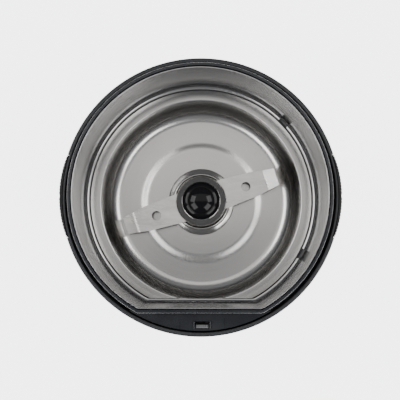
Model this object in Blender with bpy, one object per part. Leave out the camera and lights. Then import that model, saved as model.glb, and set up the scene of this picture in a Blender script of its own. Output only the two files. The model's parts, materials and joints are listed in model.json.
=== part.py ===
"""Blade coffee and spice grinder with its lid off, as an assembly of separate pieces.

Frame: origin under the middle of the body, on the surface it stands on. +Z is up, -Y is the
front, where the flat of the chamber and the lid interlock are. Sizes are in metres.

The bowl is measured down from the top of the collar, the motor hangs below the bowl, and the
base is measured up from the floor. Radial sizes run inwards from body_radius.
"""
import math

import bmesh
import bpy
from mathutils import Matrix, Vector

mm = 0.001

# ---- Fits -------------------------------------------------------------------------------------
gap = 0.3 * mm                  # between neighbouring pieces
running_gap = 0.3 * mm          # between a turning piece and a fixed one
overlap = 0.5 * mm              # how far shapes that are joined reach into each other
past = 5.0 * mm                 # how far a cutter stands out of what it cuts

# ---- Body -------------------------------------------------------------------------------------
height = 130.0 * mm             # floor to the top of the collar
body_radius = 53.0 * mm         # shoulder ring, outside
base_flare = 1.0 * mm           # how much wider the body is near its foot
housing_wall = 2.5 * mm
housing_bottom = 2.0 * mm       # lower edge of the housing above the floor
housing_edge = 0.8 * mm         # rounding of the housing's edges
flare_middle = 19.5 * mm        # the flare has lost a third here, above the floor
flare_end = 50.7 * mm           # and has run out here
lug_half_width = 4.0 * mm       # lugs inside the housing that carry the bowl carrier
lug_depth = 11.0 * mm           # carrier's top to the lug's lower end
ring_wall = 1.7 * mm            # shoulder ring
shoulder_drop = 10.0 * mm       # collar top to shoulder ring top
seat_drop = 18.0 * mm           # collar top to the step that the deck sits on

# ---- Deck and collar --------------------------------------------------------------------------
groove_width = 2.35 * mm        # lid groove between collar and shoulder ring
groove_floor_drop = 16.0 * mm
collar_wall = 1.15 * mm
collar_edge = 0.5 * mm          # chamfer on the collar's outer top edge
flat_depth = 5.6 * mm           # how far the flat front wall stands inside the chamber's circle
corner_radius = 2.5 * mm        # where the flat meets the round wall
crescent_drop = 9.0 * mm        # collar top to the crescent in front of the flat
crescent_inset = 0.4 * mm       # crescent's rim to the shoulder ring, past the working gap
crescent_plate = 1.6 * mm
crescent_rim = 1.0 * mm         # wall round the hollow under the crescent
crescent_hollow = 14.0 * mm     # half the hollow's width
crescent_rise = 0.8 * mm        # lower edge of the collar and crescent above the deck's seat
step_half_width = 8.5 * mm      # shallow step round the interlock's slot
step_setback = 2.9 * mm         # step's edge in front of the collar
step_depth = 0.5 * mm

# ---- Chamber and cup --------------------------------------------------------------------------
sheet = 0.5 * mm                # stainless sheet
ledge_drop = 33.2 * mm          # collar top to the ledge, which is the cup's flange
liner_foot = 1.6 * mm           # how far the liner's foot turns inwards
liner_flat_foot = 1.3 * mm      # and how far it does so under the flat wall
ledge_gap = 0.5 * mm            # open line between the liner's foot and the cup's flange
slot_length = 4.4 * mm          # two slots in the liner's foot
slot_width = 1.2 * mm
slot_angles = (43.0, -28.5)     # degrees from +X
cup_inset = 6.6 * mm            # cup wall inside the chamber's wall
flange_slope = 1.6 * mm         # outer part of the cup's flange, which falls away a little
flange_fall = 0.2 * mm
cup_trim = 1.0 * mm             # under the flat wall the cup ends this far below the ledge
cup_draft = 0.4 * mm
bowl_depth = 50.0 * mm          # collar top to the cup's floor
floor_fillet = 6.3 * mm
disc_radius = 24.2 * mm         # slightly raised middle of the floor
disc_rise = 0.5 * mm
seal_height = 0.5 * mm
seal_width = 1.8 * mm
seal_under_flange = 0.7 * mm

# ---- Blade and shaft --------------------------------------------------------------------------
shaft_radius = 2.5 * mm
boss_radius = 14.0 * mm
boss_height = 3.1 * mm          # boss above the raised middle of the floor
boss_lip_radius = 11.6 * mm
boss_pocket_radius = 10.8 * mm
boss_neck_radius = 12.1 * mm
boss_edge = 0.4 * mm
boss_pocket = 2.0 * mm          # boss's top to the floor of its pocket
boss_neck_drop = 3.3 * mm       # threaded neck below the carrier
nut_radius = 17.0 * mm          # over the corners
nut_height = 3.0 * mm
shaft_seal_height = 4.3 * mm
shaft_seal_width = 2.2 * mm
shaft_seal_land = 0.9 * mm      # boss's bore below the seal, round the shaft
spacer_radius = 8.0 * mm
blade_lift = 4.7 * mm           # underside of the blade above the cup's floor
blade_thickness = 1.3 * mm
blade_wall_clearance = 5.9 * mm  # blade tip to the cup's wall
blade_angle = 18.0              # degrees from +X
blade_root_width = 12.2 * mm
blade_mid_width = 10.4 * mm
blade_fold_width = 8.64 * mm
blade_tip_width = 7.2 * mm
blade_root_end = 11.0 * mm      # from the axis: the arm starts to taper
blade_taper_end = 24.0 * mm     # and narrows faster from here
blade_hole_radius = 2.0 * mm
blade_hole_distance = 19.7 * mm
blade_tip_length = 5.0 * mm     # turned part of each arm
blade_tip_turn = 20.0           # degrees, one tip up and one down
hub_radius = 10.6 * mm
hub_height = 2.5 * mm
hub_rim = 1.1 * mm              # height of the hub's steep outer edge
cap_radius = 7.9 * mm
cap_height = 3.6 * mm
cap_step_radius = 5.4 * mm
shaft_stub = 2.0 * mm           # shaft above the hub, inside the cap

# ---- Motor ------------------------------------------------------------------------------------
carrier_wall = 2.5 * mm
carrier_flange = 1.3 * mm
fan_drop = 3.5 * mm             # upper bracket to fan
fan_to_stack = 6.5 * mm
stack_to_commutator = 5.5 * mm
commutator_to_bracket = 4.9 * mm
shaft_below = 4.5 * mm          # shaft's end below the lower bracket
damper_height = 5.4 * mm
damper_radius = 4.5 * mm
damper_circle = 30.0 * mm
bracket_thickness = 1.6 * mm
bracket_radius = 35.0 * mm
bolt_distance = 28.0 * mm
bolt_radius = 1.7 * mm
post_radius = 3.4 * mm
bearing_radius = 6.0 * mm
bearing_half_height = 3.2 * mm
fan_radius = 23.5 * mm
fan_height = 5.0 * mm
fan_blades = 8
fan_hub = 6.0 * mm
fan_plate = 1.2 * mm
fan_vane = 1.0 * mm
armature_radius = 14.5 * mm
armature_teeth = 12
armature_slot = 4.0 * mm        # depth between the teeth
winding_height = 4.9 * mm
stack_height = 18.0 * mm
air_gap = 0.8 * mm
stator_half_x = 31.0 * mm
stator_half_y = 26.0 * mm
stator_corner = 5.0 * mm
pole_gap_half_x = 11.0 * mm     # opening between the poles, in front of and behind the armature
pole_gap_half_y = 18.0 * mm
pole_half_width = 8.0 * mm
coil_inner_x = 17.8 * mm
coil_thickness = 5.9 * mm
coil_width = 5.7 * mm
coil_over = 5.2 * mm            # coil above and below the stack
commutator_radius = 9.0 * mm
commutator_height = 10.0 * mm
brush_size = 5.0 * mm
brush_length = 7.7 * mm
brush_holder_wall = 1.3 * mm
brush_holder_length = 13.5 * mm
brush_show = 1.5 * mm           # brush between commutator and holder
brush_drop = 0.5 * mm           # brush's middle below the commutator's
holder_cap = 1.3 * mm           # closed end of the holder
holder_foot = 2.5 * mm          # half width of its foot
spring_radius = 1.7 * mm
spring_wire = 0.3 * mm

# ---- Lid interlock ----------------------------------------------------------------------------
interlock_x = 0.7 * mm          # middle of the slot
interlock_slot_width = 5.2 * mm
interlock_slot_depth = 2.8 * mm
slider_width = 4.6 * mm
slider_thickness = 1.2 * mm
slider_travel = 2.5 * mm
slot_rim = 0.7 * mm             # crescent's rim to the slot
guide_rib = 0.8 * mm
guide_rib_inset = 0.1 * mm
guide_rib_height = 0.45 * mm
slider_drop = 0.6 * mm          # crescent to the slider's top
slider_tail = 1.8 * mm          # slider below the deck's seat
toe_length = 5.6 * mm           # from the slot's middle to the toe's end
toe_past = 1.2 * mm             # toe past the middle of the lever
return_spring_height = 6.6 * mm
return_spring_radius = 0.75 * mm
return_spring_wire = 0.2 * mm
spring_post_radius = 0.9 * mm
switch_clearance = 1.1 * mm     # chamber's flat to the switch
table_thickness = 1.6 * mm      # shelf that the switch stands on
pivot_reach = 5.8 * mm          # lever's pivot beside the slot's middle
lever_clearance = 0.2 * mm
lever_stand = 0.35 * mm         # lever's pivot above the switch, past the gap
lever_eye = 0.45 * mm
plunger_reach = 1.5 * mm        # plunger beside the slot's middle
plunger_sink = 1.5 * mm
plunger_well = 1.2 * mm         # half width
switch_length = 12.8 * mm
switch_width = 4.8 * mm
switch_height = 6.8 * mm
lever_length = 11.0 * mm
lever_width = 3.4 * mm
lever_sheet = 0.3 * mm

# ---- Base -------------------------------------------------------------------------------------
base_thickness = 2.5 * mm
foot_radius = 6.0 * mm
foot_height = 2.0 * mm
foot_stem = 2.2 * mm
foot_circle_inset = 13.0 * mm   # foot centre inside body_radius
screw_radius = 1.1 * mm
screw_length = 12.0 * mm
counterbore_radius = 3.2 * mm
counterbore_depth = 1.3 * mm
base_screw_head = 2.9 * mm
vent_count = 7
vent_pitch = 6.0 * mm
vent_width = 2.5 * mm
vent_half_length = 18.0 * mm
end_vent_half_length = 12.0 * mm
foot_edge = 0.6 * mm
foot_bulb = 0.8 * mm            # how far the bulb stands out over the stem
foot_bulb_height = 2.2 * mm
grommet_height = 12.5 * mm
grommet_bore = 3.5 * mm
grommet_flange = 6.8 * mm
grommet_neck_wall = 1.5 * mm
grommet_seat = 1.4 * mm         # depth of the flat that its outer flange lies on
grommet_recess = 0.4 * mm       # outer flange inside the body's circle
grommet_inner_flange = 1.4 * mm
clamp_reach = 6.6 * mm          # screws either side of the cord
clamp_margin = 3.0 * mm
clamp_height = 2.0 * mm
clamp_rise = 1.8 * mm           # clamp's underside above the cord's middle
clamp_inset = 9.0 * mm          # inside the housing's wall
clamp_post_radius = 2.6 * mm
clamp_screw_head = 2.2 * mm
clamp_screw_height = 1.4 * mm
capacitor_size = (15.0 * mm, 6.4 * mm, 13.7 * mm)
capacitor_edge = 0.8 * mm
capacitor_inset = 9.4 * mm
grip_half_angle = 17.2          # degrees either side of the X axis
grip_side_gap = 0.35            # degrees
grip_proud = 0.75 * mm
grip_sink = 0.5 * mm
grip_length = 57.7 * mm

# ---- Facets -----------------------------------------------------------------------------------
round_steps = 40
part_steps = 24
small_steps = 10
fillet_steps = 5

# ---- Levels and radii that follow from the sizes above ----------------------------------------
top = height
shoulder = top - shoulder_drop
seat = top - seat_drop
ledge = top - ledge_drop
cup_floor = top - bowl_depth
disc_top = cup_floor + disc_rise
cup_rim = ledge
cup_corner = min(floor_fillet, cup_rim - cup_floor - 2 * mm)
seal_top = cup_rim - sheet - gap
seal_under = seal_top - seal_height
carrier_top = seal_under - gap
carrier_floor = cup_floor - sheet - gap
carrier_under = carrier_floor - carrier_wall
bracket_top = carrier_under - damper_height - 2 * gap
bracket_under = bracket_top - bracket_thickness
fan_top = bracket_under - fan_drop
fan_under = fan_top - fan_height
stack_top = fan_under - fan_to_stack
stack_under = stack_top - stack_height
commutator_top = stack_under - stack_to_commutator
commutator_under = commutator_top - commutator_height
lower_bracket_top = commutator_under - commutator_to_bracket
lower_bracket_under = lower_bracket_top - bracket_thickness
base_under = foot_height + gap
base_top = base_under + base_thickness
clamp_under = grommet_height + clamp_rise
crescent_top = top - crescent_drop
flange_under = carrier_top - carrier_flange
boss_top = disc_top + boss_height
boss_pocket_floor = boss_top - boss_pocket

base_radius = body_radius + base_flare
base_inside = base_radius - housing_wall
ring_inside = body_radius - ring_wall
housing_inside = body_radius - housing_wall
collar_radius = ring_inside - groove_width
collar_inside = collar_radius - collar_wall
liner_outside = collar_inside - gap
chamber_radius = liner_outside - sheet
chamber_flat = chamber_radius - flat_depth
liner_flat_outside = chamber_flat + sheet
collar_flat_inside = liner_flat_outside + gap
collar_flat = collar_flat_inside + collar_wall
crescent_radius = ring_inside - gap - crescent_inset
liner_foot_radius = chamber_radius - liner_foot
flat_foot = chamber_flat - liner_flat_foot
cup_radius = chamber_radius - cup_inset
cup_flange_radius = liner_foot_radius - ledge_gap
seal_radius = cup_flange_radius - seal_under_flange
cup_wall_foot = cup_radius - cup_draft
carrier_rim = housing_inside - 2 * gap
blade_under = cup_floor + blade_lift
blade_top = blade_under + blade_thickness
blade_reach = cup_wall_foot - blade_wall_clearance
shaft_top = blade_top + hub_height + shaft_stub
shaft_end = lower_bracket_under - shaft_below
shaft_bore = shaft_radius + gap
screw_bore = screw_radius + gap
clamp_y = base_inside - clamp_inset

base_screw_angles = (30.0, 150.0, 270.0)
base_boss_radius = 4.4 * mm
base_boss_circle = base_inside - base_boss_radius + overlap
lug_angles = (90.0, 210.0, 330.0)
foot_angles = (45.0, 135.0, 225.0, 315.0)

# The interlock hangs from the slot: slider, then lever, then switch.
slider_front = crescent_radius - slot_rim - gap
slider_y = -(slider_front - slider_thickness / 2)
slider_under = seat - slider_tail
slider_top = crescent_top - slider_drop
switch_back = -(liner_flat_outside + switch_clearance)
lever_rest = math.atan2(slider_travel + lever_clearance, lever_length)
pivot_x = interlock_x - pivot_reach
pivot_z = slider_under - gap - slider_travel - lever_clearance - lever_sheet
switch_top = pivot_z - lever_stand - gap
switch_under = switch_top - switch_height
spring_low = slider_under - gap - return_spring_height

COLOURS = {
    "black_gloss": ((0.012, 0.013, 0.015), 0.18, 0.0),
    "black_satin": ((0.020, 0.022, 0.026), 0.38, 0.0),
    "black_rubber": ((0.018, 0.018, 0.018), 0.75, 0.0),
    "steel_polished": ((0.60, 0.58, 0.56), 0.16, 1.0),
    "steel_satin": ((0.52, 0.50, 0.48), 0.30, 1.0),
    "steel_plated": ((0.55, 0.55, 0.56), 0.35, 1.0),
    "lamination": ((0.22, 0.23, 0.25), 0.50, 0.9),
    "copper": ((0.80, 0.36, 0.18), 0.35, 1.0),
    "bronze": ((0.60, 0.42, 0.22), 0.40, 1.0),
    "carbon": ((0.035, 0.035, 0.038), 0.60, 0.1),
    "grey_plastic": ((0.20, 0.21, 0.22), 0.45, 0.0),
    "white_nylon": ((0.75, 0.74, 0.70), 0.45, 0.0),
    "blue_box": ((0.10, 0.20, 0.42), 0.45, 0.0),
    "silicone": ((0.030, 0.031, 0.033), 0.60, 0.0),
}


# ---- Helpers ----------------------------------------------------------------------------------

def give_finish(obj, finish):
    """Give the object its own Principled material."""
    colour, roughness, metallic = COLOURS[finish]
    material = bpy.data.materials.new(obj.name + "_" + finish)
    material.use_nodes = True
    shader = material.node_tree.nodes["Principled BSDF"]
    shader.inputs["Base Color"].default_value = (*colour, 1.0)
    shader.inputs["Roughness"].default_value = roughness
    shader.inputs["Metallic"].default_value = metallic
    material.diffuse_color = (*colour, 1.0)
    obj.data.materials.append(material)


def finish_mesh(name, bm, finish=None, location=(0, 0, 0), turn=0.0):
    """Turn a bmesh into a named object; without a finish it is a guide for a Boolean."""
    bmesh.ops.recalc_face_normals(bm, faces=bm.faces)
    mesh = bpy.data.meshes.new(name)
    bm.to_mesh(mesh)
    bm.free()
    mesh.shade_smooth()
    mesh.set_sharp_from_angle(angle=math.radians(35))
    obj = bpy.data.objects.new(name, mesh)
    bpy.context.scene.collection.objects.link(obj)
    obj.location = location
    obj.rotation_euler = (0, 0, turn)
    if finish is None:
        obj.hide_render = True
        obj.display_type = "WIRE"
    else:
        give_finish(obj, finish)
    return obj


def lathe(name, profile, finish=None, steps=round_steps, location=(0, 0, 0)):
    """Turn an outline of (radius, z) points about Z. It is open only where it ends on the axis."""
    bm = bmesh.new()
    verts = [bm.verts.new((r, 0, z)) for r, z in profile]
    edges = [bm.edges.new(pair) for pair in zip(verts, verts[1:])]
    if profile[0][0] > 0 or profile[-1][0] > 0:
        edges.append(bm.edges.new((verts[-1], verts[0])))
    bmesh.ops.spin(bm, geom=verts + edges, cent=(0, 0, 0), axis=(0, 0, 1), dvec=(0, 0, 0),
                   angle=2 * math.pi, steps=steps, use_merge=True)
    bmesh.ops.remove_doubles(bm, verts=bm.verts, dist=1e-7)
    return finish_mesh(name, bm, finish, location)


def ring(inner, outer, low, high):
    """Profile of a plain ring; a zero inner radius makes a disc."""
    if inner <= 0:
        return [(0, low), (outer, low), (outer, high), (0, high)]
    return [(inner, low), (outer, low), (outer, high), (inner, high)]


def extrude(name, outline, low, high, finish=None, location=(0, 0, 0), turn=0.0):
    """Raise a flat outline of (x, y) points from low to high."""
    bm = bmesh.new()
    face = bm.faces.new([bm.verts.new((x, y, low)) for x, y in outline])
    raised = bmesh.ops.extrude_face_region(bm, geom=[face])
    moved = [v for v in raised["geom"] if isinstance(v, bmesh.types.BMVert)]
    bmesh.ops.translate(bm, vec=(0, 0, high - low), verts=moved)
    return finish_mesh(name, bm, finish, location, turn)


def box(name, low, high, finish=None, location=(0, 0, 0), turn=0.0):
    """A box between two corners."""
    outline = [(low[0], low[1]), (high[0], low[1]), (high[0], high[1]), (low[0], high[1])]
    return extrude(name, outline, low[2], high[2], finish, location, turn)


def rod_y(name, radius, low_y, high_y, z):
    """Guide for a round hole along Y at height z."""
    rod = lathe(name, ring(0, radius, low_y, high_y), steps=small_steps)
    rod.data.transform(Matrix.Translation((0, 0, z)) @ Matrix.Rotation(-math.pi / 2, 4, "X"))
    return rod


def boolean(obj, other, operation):
    modifier = obj.modifiers.new(other.name, "BOOLEAN")
    modifier.operation = operation
    modifier.solver = "EXACT"
    modifier.object = other


def cut(obj, *others):
    for other in others:
        boolean(obj, other, "DIFFERENCE")


def join(obj, *others):
    for other in others:
        boolean(obj, other, "UNION")


def at_angle(radius, degrees, z=0.0):
    """A place on a circle about the axis."""
    angle = math.radians(degrees)
    return (radius * math.cos(angle), radius * math.sin(angle), z)


def arc(centre, radius, start, end, count):
    """Points of an arc, from start to end in radians, both ends included."""
    steps = [start + (end - start) * i / count for i in range(count + 1)]
    return [(centre[0] + radius * math.cos(a), centre[1] + radius * math.sin(a)) for a in steps]


def d_outline(radius, flat, corner=corner_radius):
    """A circle cut off by a flat at y = -flat, with rounded corners, counter-clockwise."""
    across = math.sqrt((radius - corner) ** 2 - (flat - corner) ** 2)
    tangent = math.atan2(-(flat - corner), across)
    right = arc((across, -(flat - corner)), corner, -math.pi / 2, tangent, 3)
    main = arc((0, 0), radius, tangent, math.pi - tangent, round_steps - 10)
    left = arc((-across, -(flat - corner)), corner, math.pi - tangent, 1.5 * math.pi, 3)
    chord = [(across * (i / 2 - 1), -flat) for i in range(1, 4)]
    return right + main[1:-1] + left + chord


def loft(name, sections, finish=None, closed=False):
    """Skin D-shaped sections of (radius, flat, z); a closed one has its last joined to its first."""
    bm = bmesh.new()
    rows = []
    for radius, flat, z in sections:
        rows.append([bm.verts.new((x, y, z)) for x, y in d_outline(radius, flat)])
    pairs = list(zip(rows, rows[1:]))
    if closed:
        pairs.append((rows[-1], rows[0]))
    else:
        bm.faces.new(rows[0])
        bm.faces.new(rows[-1])
    for lower, upper in pairs:
        for i in range(len(lower)):
            j = (i + 1) % len(lower)
            bm.faces.new((lower[i], lower[j], upper[j], upper[i]))
    return finish_mesh(name, bm, finish)


def sector(name, inner, outer, low, high, middle, half_angle, finish=None, count=10):
    """A piece of a ring, half_angle degrees either side of the middle."""
    start = math.radians(middle - half_angle)
    end = math.radians(middle + half_angle)
    outline = arc((0, 0), outer, start, end, count) + arc((0, 0), inner, end, start, count)
    return extrude(name, outline, low, high, finish)


def coil(name, radius, wire, turns, low, high, finish, location, along_y=False):
    """A compression spring: a round wire carried along a helix from low to high."""
    per_turn = 8
    sides = 4
    count = int(turns * per_turn)
    bm = bmesh.new()
    rows = []
    for i in range(count + 1):
        angle = 2 * math.pi * i / per_turn
        middle = Vector((radius * math.cos(angle), radius * math.sin(angle),
                         low + wire + (high - low - 2 * wire) * i / count))
        outward = Vector((math.cos(angle), math.sin(angle), 0))
        row = []
        for k in range(sides):
            phase = 2 * math.pi * k / sides
            offset = outward * math.cos(phase) + Vector((0, 0, 1)) * math.sin(phase)
            row.append(bm.verts.new(middle + wire * offset))
        rows.append(row)
    for first, second in zip(rows, rows[1:]):
        for k in range(sides):
            n = (k + 1) % sides
            bm.faces.new((first[k], first[n], second[n], second[k]))
    bm.faces.new(rows[0])
    bm.faces.new(rows[-1])
    if along_y:
        bmesh.ops.transform(bm, matrix=Matrix.Rotation(-math.pi / 2, 4, "X"), verts=bm.verts)
    return finish_mesh(name, bm, finish, location)


def bored_post(name, radius, foot, mouth, hole_end, place):
    """Guide for a round post from foot to mouth, with a blind screw hole down from the mouth."""
    return lathe(name, [(0, hole_end), (screw_bore, hole_end), (screw_bore, mouth), (radius, mouth),
                        (radius, foot), (0, foot)], steps=small_steps, location=place)


def screw(name, head_radius, head_under, head_top, shank_end, place, finish="steel_plated"):
    """A pan-head screw on a vertical axis; the shank runs from the head to shank_end."""
    if shank_end > head_top:
        profile = [(0, head_under), (head_radius, head_under), (head_radius, head_top),
                   (screw_radius, head_top), (screw_radius, shank_end), (0, shank_end)]
    else:
        profile = [(0, shank_end), (screw_radius, shank_end), (screw_radius, head_under),
                   (head_radius, head_under), (head_radius, head_top), (0, head_top)]
    return lathe(name, profile, finish, small_steps, place)


# ---- Body -------------------------------------------------------------------------------------

def make_housing():
    """Turned shell with a stepped mouth, three screw bosses and three lugs for the carrier."""
    edge = housing_edge
    outer = [
        (base_radius - edge, housing_bottom),
        (base_radius, housing_bottom + edge),
        (base_radius - 0.3 * base_flare, flare_middle),
        (body_radius - 0.2 * mm, flare_end),
        (body_radius, seat - 4 * mm),
        (body_radius, shoulder - edge),
        (body_radius - edge / 3, shoulder - edge / 3),
        (body_radius - edge, shoulder),
    ]
    inner = [
        (ring_inside + edge / 2, shoulder),
        (ring_inside, shoulder - edge / 2),
        (ring_inside, seat),
        (housing_inside, seat),
        (housing_inside - 0.1 * mm, flare_end),
        (base_inside - 0.3 * base_flare, flare_middle),
        (base_inside, housing_bottom + edge),
        (base_inside, housing_bottom),
    ]
    housing = lathe("housing", outer + inner, "black_satin")
    for number, degrees in enumerate(base_screw_angles, 1):
        low = base_top + gap
        hole_end = low + screw_length
        join(housing, bored_post("boss_guide_%d" % number, base_boss_radius, hole_end + 2 * mm, low,
                                 hole_end, at_angle(base_boss_circle, degrees)))
    for number, degrees in enumerate(lug_angles, 1):
        lug = box("lug_guide_%d" % number, (liner_outside, -lug_half_width, carrier_top - lug_depth),
                  (housing_inside + 2 * overlap, lug_half_width, flange_under - gap),
                  turn=math.radians(degrees))
        join(housing, lug)
    for side, middle in (("left", 180.0), ("right", 0.0)):
        pocket = sector("grip_pocket_" + side, body_radius - grip_sink - gap, base_radius + past,
                        shoulder - grip_length - gap, shoulder + past, middle,
                        grip_half_angle + grip_side_gap)
        cut(housing, pocket)
    cut(housing, rod_y("grommet_pocket", grommet_flange + gap, base_radius - grommet_seat,
                       base_radius + past, grommet_height))
    cut(housing, rod_y("grommet_hole", grommet_bore + grommet_neck_wall + gap, base_inside - past,
                       base_radius + past, grommet_height))
    return housing


def make_grips():
    """Two pads in the housing's sides, flush with the shoulder at the top."""
    for side, middle in (("left", 180.0), ("right", 0.0)):
        sector("grip_" + side, body_radius - grip_sink, body_radius + grip_proud,
               shoulder - grip_length, shoulder, middle, grip_half_angle, "black_rubber")


def make_top_deck():
    """D-shaped collar on a flange, with the crescent, its slot, guide ribs and step in front."""
    deck = loft("top_deck", [
        (collar_radius, collar_flat, seat + crescent_rise),
        (collar_radius, collar_flat, top - collar_edge),
        (collar_radius - 0.3 * collar_edge, collar_flat - 0.3 * collar_edge, top - 0.3 * collar_edge),
        (collar_radius - collar_edge, collar_flat - collar_edge, top),
    ], "black_gloss")
    flange = lathe("flange_guide", ring(0, ring_inside - gap, seat + gap, top - groove_floor_drop))
    front = collar_flat - gap
    reach = math.acos(front / crescent_radius)
    crescent = extrude("crescent_guide",
                       arc((0, 0), crescent_radius, -math.pi / 2 - reach, -math.pi / 2 + reach, 24),
                       seat + crescent_rise, crescent_top)
    join(deck, flange, crescent)

    inside = loft("collar_bore", [(collar_inside, collar_flat_inside, seat - past),
                                  (collar_inside, collar_flat_inside, top + past)])
    cavity_radius = crescent_radius - crescent_rim
    cavity_reach = math.asin(crescent_hollow / cavity_radius)
    cavity_outline = arc((0, 0), cavity_radius, -math.pi / 2 - cavity_reach,
                         -math.pi / 2 + cavity_reach, 8)
    cavity_back = -(collar_flat + crescent_rim)
    cavity_outline += [(crescent_hollow, cavity_back), (-crescent_hollow, cavity_back)]
    cavity = extrude("crescent_cavity", cavity_outline, seat - past, crescent_top - crescent_plate)
    slot_front = -(crescent_radius - slot_rim)
    slot_back = slot_front + interlock_slot_depth
    half = interlock_slot_width / 2
    slot = box("interlock_slot", (interlock_x - half, slot_front, seat - 2 * past),
               (interlock_x + half, slot_back, crescent_top + past))
    step = box("crescent_step", (interlock_x - step_half_width, -(crescent_radius + past),
                                 crescent_top - step_depth),
               (interlock_x + step_half_width, -(collar_flat + step_setback), crescent_top + past))
    cut(deck, inside, cavity, step)
    for side, sign in (("left", -1), ("right", 1)):
        near = interlock_x + sign * (half + guide_rib_inset)
        far = near + sign * guide_rib
        rib = box("guide_rib_" + side,
                  (min(near, far), slot_front + guide_rib_inset, crescent_top - 2 * step_depth),
                  (max(near, far), slot_back, crescent_top + guide_rib_height))
        join(deck, rib)
    cut(deck, slot)
    return deck


# ---- Bowl -------------------------------------------------------------------------------------

def make_chamber_liner():
    """Sheet liner: a D-shaped wall whose foot turns inwards on a fillet, with two slots in it."""
    rim = top - gap
    knee = ledge + liner_foot
    turns = [math.radians(degrees) for degrees in (0, 30, 60, 90)]
    inner = []
    outer = []
    for turn in turns:
        in_x = math.cos(turn)
        down = math.sin(turn)
        inner.append((liner_foot_radius + liner_foot * in_x, flat_foot + liner_flat_foot * in_x,
                      knee - liner_foot * down))
        outer.append((liner_foot_radius + (liner_foot + sheet) * in_x,
                      flat_foot + (liner_flat_foot + sheet) * in_x, knee - (liner_foot + sheet) * down))
    edge = rim - 0.3 * mm
    sections = [(chamber_radius, chamber_flat, edge)] + inner + outer[::-1]
    sections += [(liner_outside, liner_flat_outside, edge),
                 (chamber_radius + 0.5 * sheet, chamber_flat + 0.5 * sheet, rim)]
    liner = loft("chamber_liner", sections, "steel_polished", closed=True)
    for number, degrees in enumerate(slot_angles, 1):
        slot = box("foot_slot_%d" % number,
                   (liner_foot_radius - slot_width, -slot_length / 2, ledge - past),
                   (liner_foot_radius + slot_width, slot_length / 2, ledge + past),
                   turn=math.radians(degrees))
        cut(liner, slot)
    return liner


def make_bowl_seal():
    """Rubber ring under the line between the liner's foot and the cup's flange."""
    profile = ring(seal_radius, seal_radius + seal_width, seal_under, seal_top)
    return lathe("bowl_seal", profile, "silicone")


def fillet(centre, radius, start, end, count):
    """Profile points of a rounded inside corner, in degrees."""
    return arc(centre, radius, math.radians(start), math.radians(end), count)


def make_grinding_cup():
    """Pressed cup: flange that makes the ledge, rounded mouth, wall, deep fillet, raised middle."""
    hole = boss_neck_radius + gap
    corner = (cup_wall_foot - cup_corner, cup_floor + cup_corner)
    flange = cup_flange_radius
    slope = flange - flange_slope
    inner = [(flange, cup_rim - flange_fall), (slope, cup_rim), (cup_radius + 0.6 * mm, cup_rim),
             (cup_radius + 0.15 * mm, cup_rim - 0.2 * mm), (cup_radius, cup_rim - 0.7 * mm)]
    inner += fillet(corner, cup_corner, 0, -90, fillet_steps)
    inner += [(disc_radius + 0.9 * mm, cup_floor), (disc_radius, disc_top), (hole, disc_top)]
    under = [(hole, disc_top - sheet), (disc_radius + 0.1 * mm, disc_top - sheet),
             (disc_radius + 1.0 * mm, cup_floor - sheet)]
    under += fillet(corner, cup_corner + sheet, -90, 0, fillet_steps)
    under += [(cup_radius + sheet, cup_rim - 1.0 * mm), (cup_radius + sheet + 0.3 * mm, cup_rim - sheet),
              (slope, cup_rim - sheet), (flange, cup_rim - flange_fall - sheet)]
    cup = lathe("grinding_cup", inner + under, "steel_satin")
    reach = body_radius + past
    cut(cup, box("front_trim", (-reach, -reach, cup_rim - cup_trim),
                 (reach, -(flat_foot - gap), cup_rim + past)))
    return cup


def make_bowl_carrier():
    """Plastic pan under the cup: flange on the housing's lugs, switch seat and spring post."""
    inside = cup_radius + sheet + gap + 0.2 * mm
    hole = boss_neck_radius + gap
    knee = cup_floor + cup_corner
    foot = cup_wall_foot - cup_corner
    profile = [(inside, carrier_top), (inside, (carrier_top + knee) / 2)]
    profile += fillet((foot, knee), cup_corner + sheet + gap, 0, -90, 4)
    profile += [
        (hole, carrier_floor), (hole, carrier_under),
        (foot + 0.5 * mm, carrier_under), (foot + 6.0 * mm, cup_floor - 1.2 * mm),
        (inside + 2 * mm, knee - 1 * mm), (inside + 2 * mm, flange_under),
        (carrier_rim, flange_under), (carrier_rim, carrier_top),
    ]
    carrier = lathe("bowl_carrier", profile, "grey_plastic")
    half = switch_length / 2
    front = switch_back - switch_width
    foot_level = flange_under + 0.2 * mm
    leg = box("switch_leg", (interlock_x - half, front, foot_level),
              (interlock_x + half, -(seal_radius + seal_width + gap), switch_under - 2 * overlap))
    table = box("switch_table", (interlock_x - half, front, switch_under - gap - table_thickness),
                (interlock_x + half, switch_back, switch_under - gap))
    post = lathe("spring_post", ring(0, spring_post_radius, foot_level, spring_low - gap),
                 steps=small_steps, location=(interlock_x, slider_y, 0))
    join(carrier, leg, table, post)
    for number, degrees in enumerate(lug_angles, 1):
        pilot = lathe("damper_pilot_%d" % number,
                      ring(0, screw_bore, carrier_under - past, carrier_floor + past),
                      steps=small_steps, location=at_angle(damper_circle, degrees))
        cut(carrier, pilot)
    return carrier


def make_shaft_boss():
    """Turned ring that clamps the cup's floor: rim on top, threaded neck below."""
    edge = boss_edge
    low = disc_top + gap
    high = boss_top
    neck_end = carrier_under - boss_neck_drop
    seal_end = boss_pocket_floor - shaft_seal_height
    bore = shaft_bore + shaft_seal_width
    land = shaft_bore + shaft_seal_land
    return lathe("shaft_boss", [
        (boss_radius, low), (boss_radius, high - 1.5 * mm), (boss_radius - edge, high - 1.0 * mm),
        (boss_lip_radius + edge, high - edge), (boss_lip_radius, high),
        (boss_lip_radius - edge, high), (boss_pocket_radius, high - edge),
        (boss_pocket_radius, boss_pocket_floor), (bore, boss_pocket_floor), (bore, seal_end),
        (land, seal_end), (land, neck_end), (boss_neck_radius, neck_end), (boss_neck_radius, low),
    ], "steel_polished", part_steps)


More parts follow.
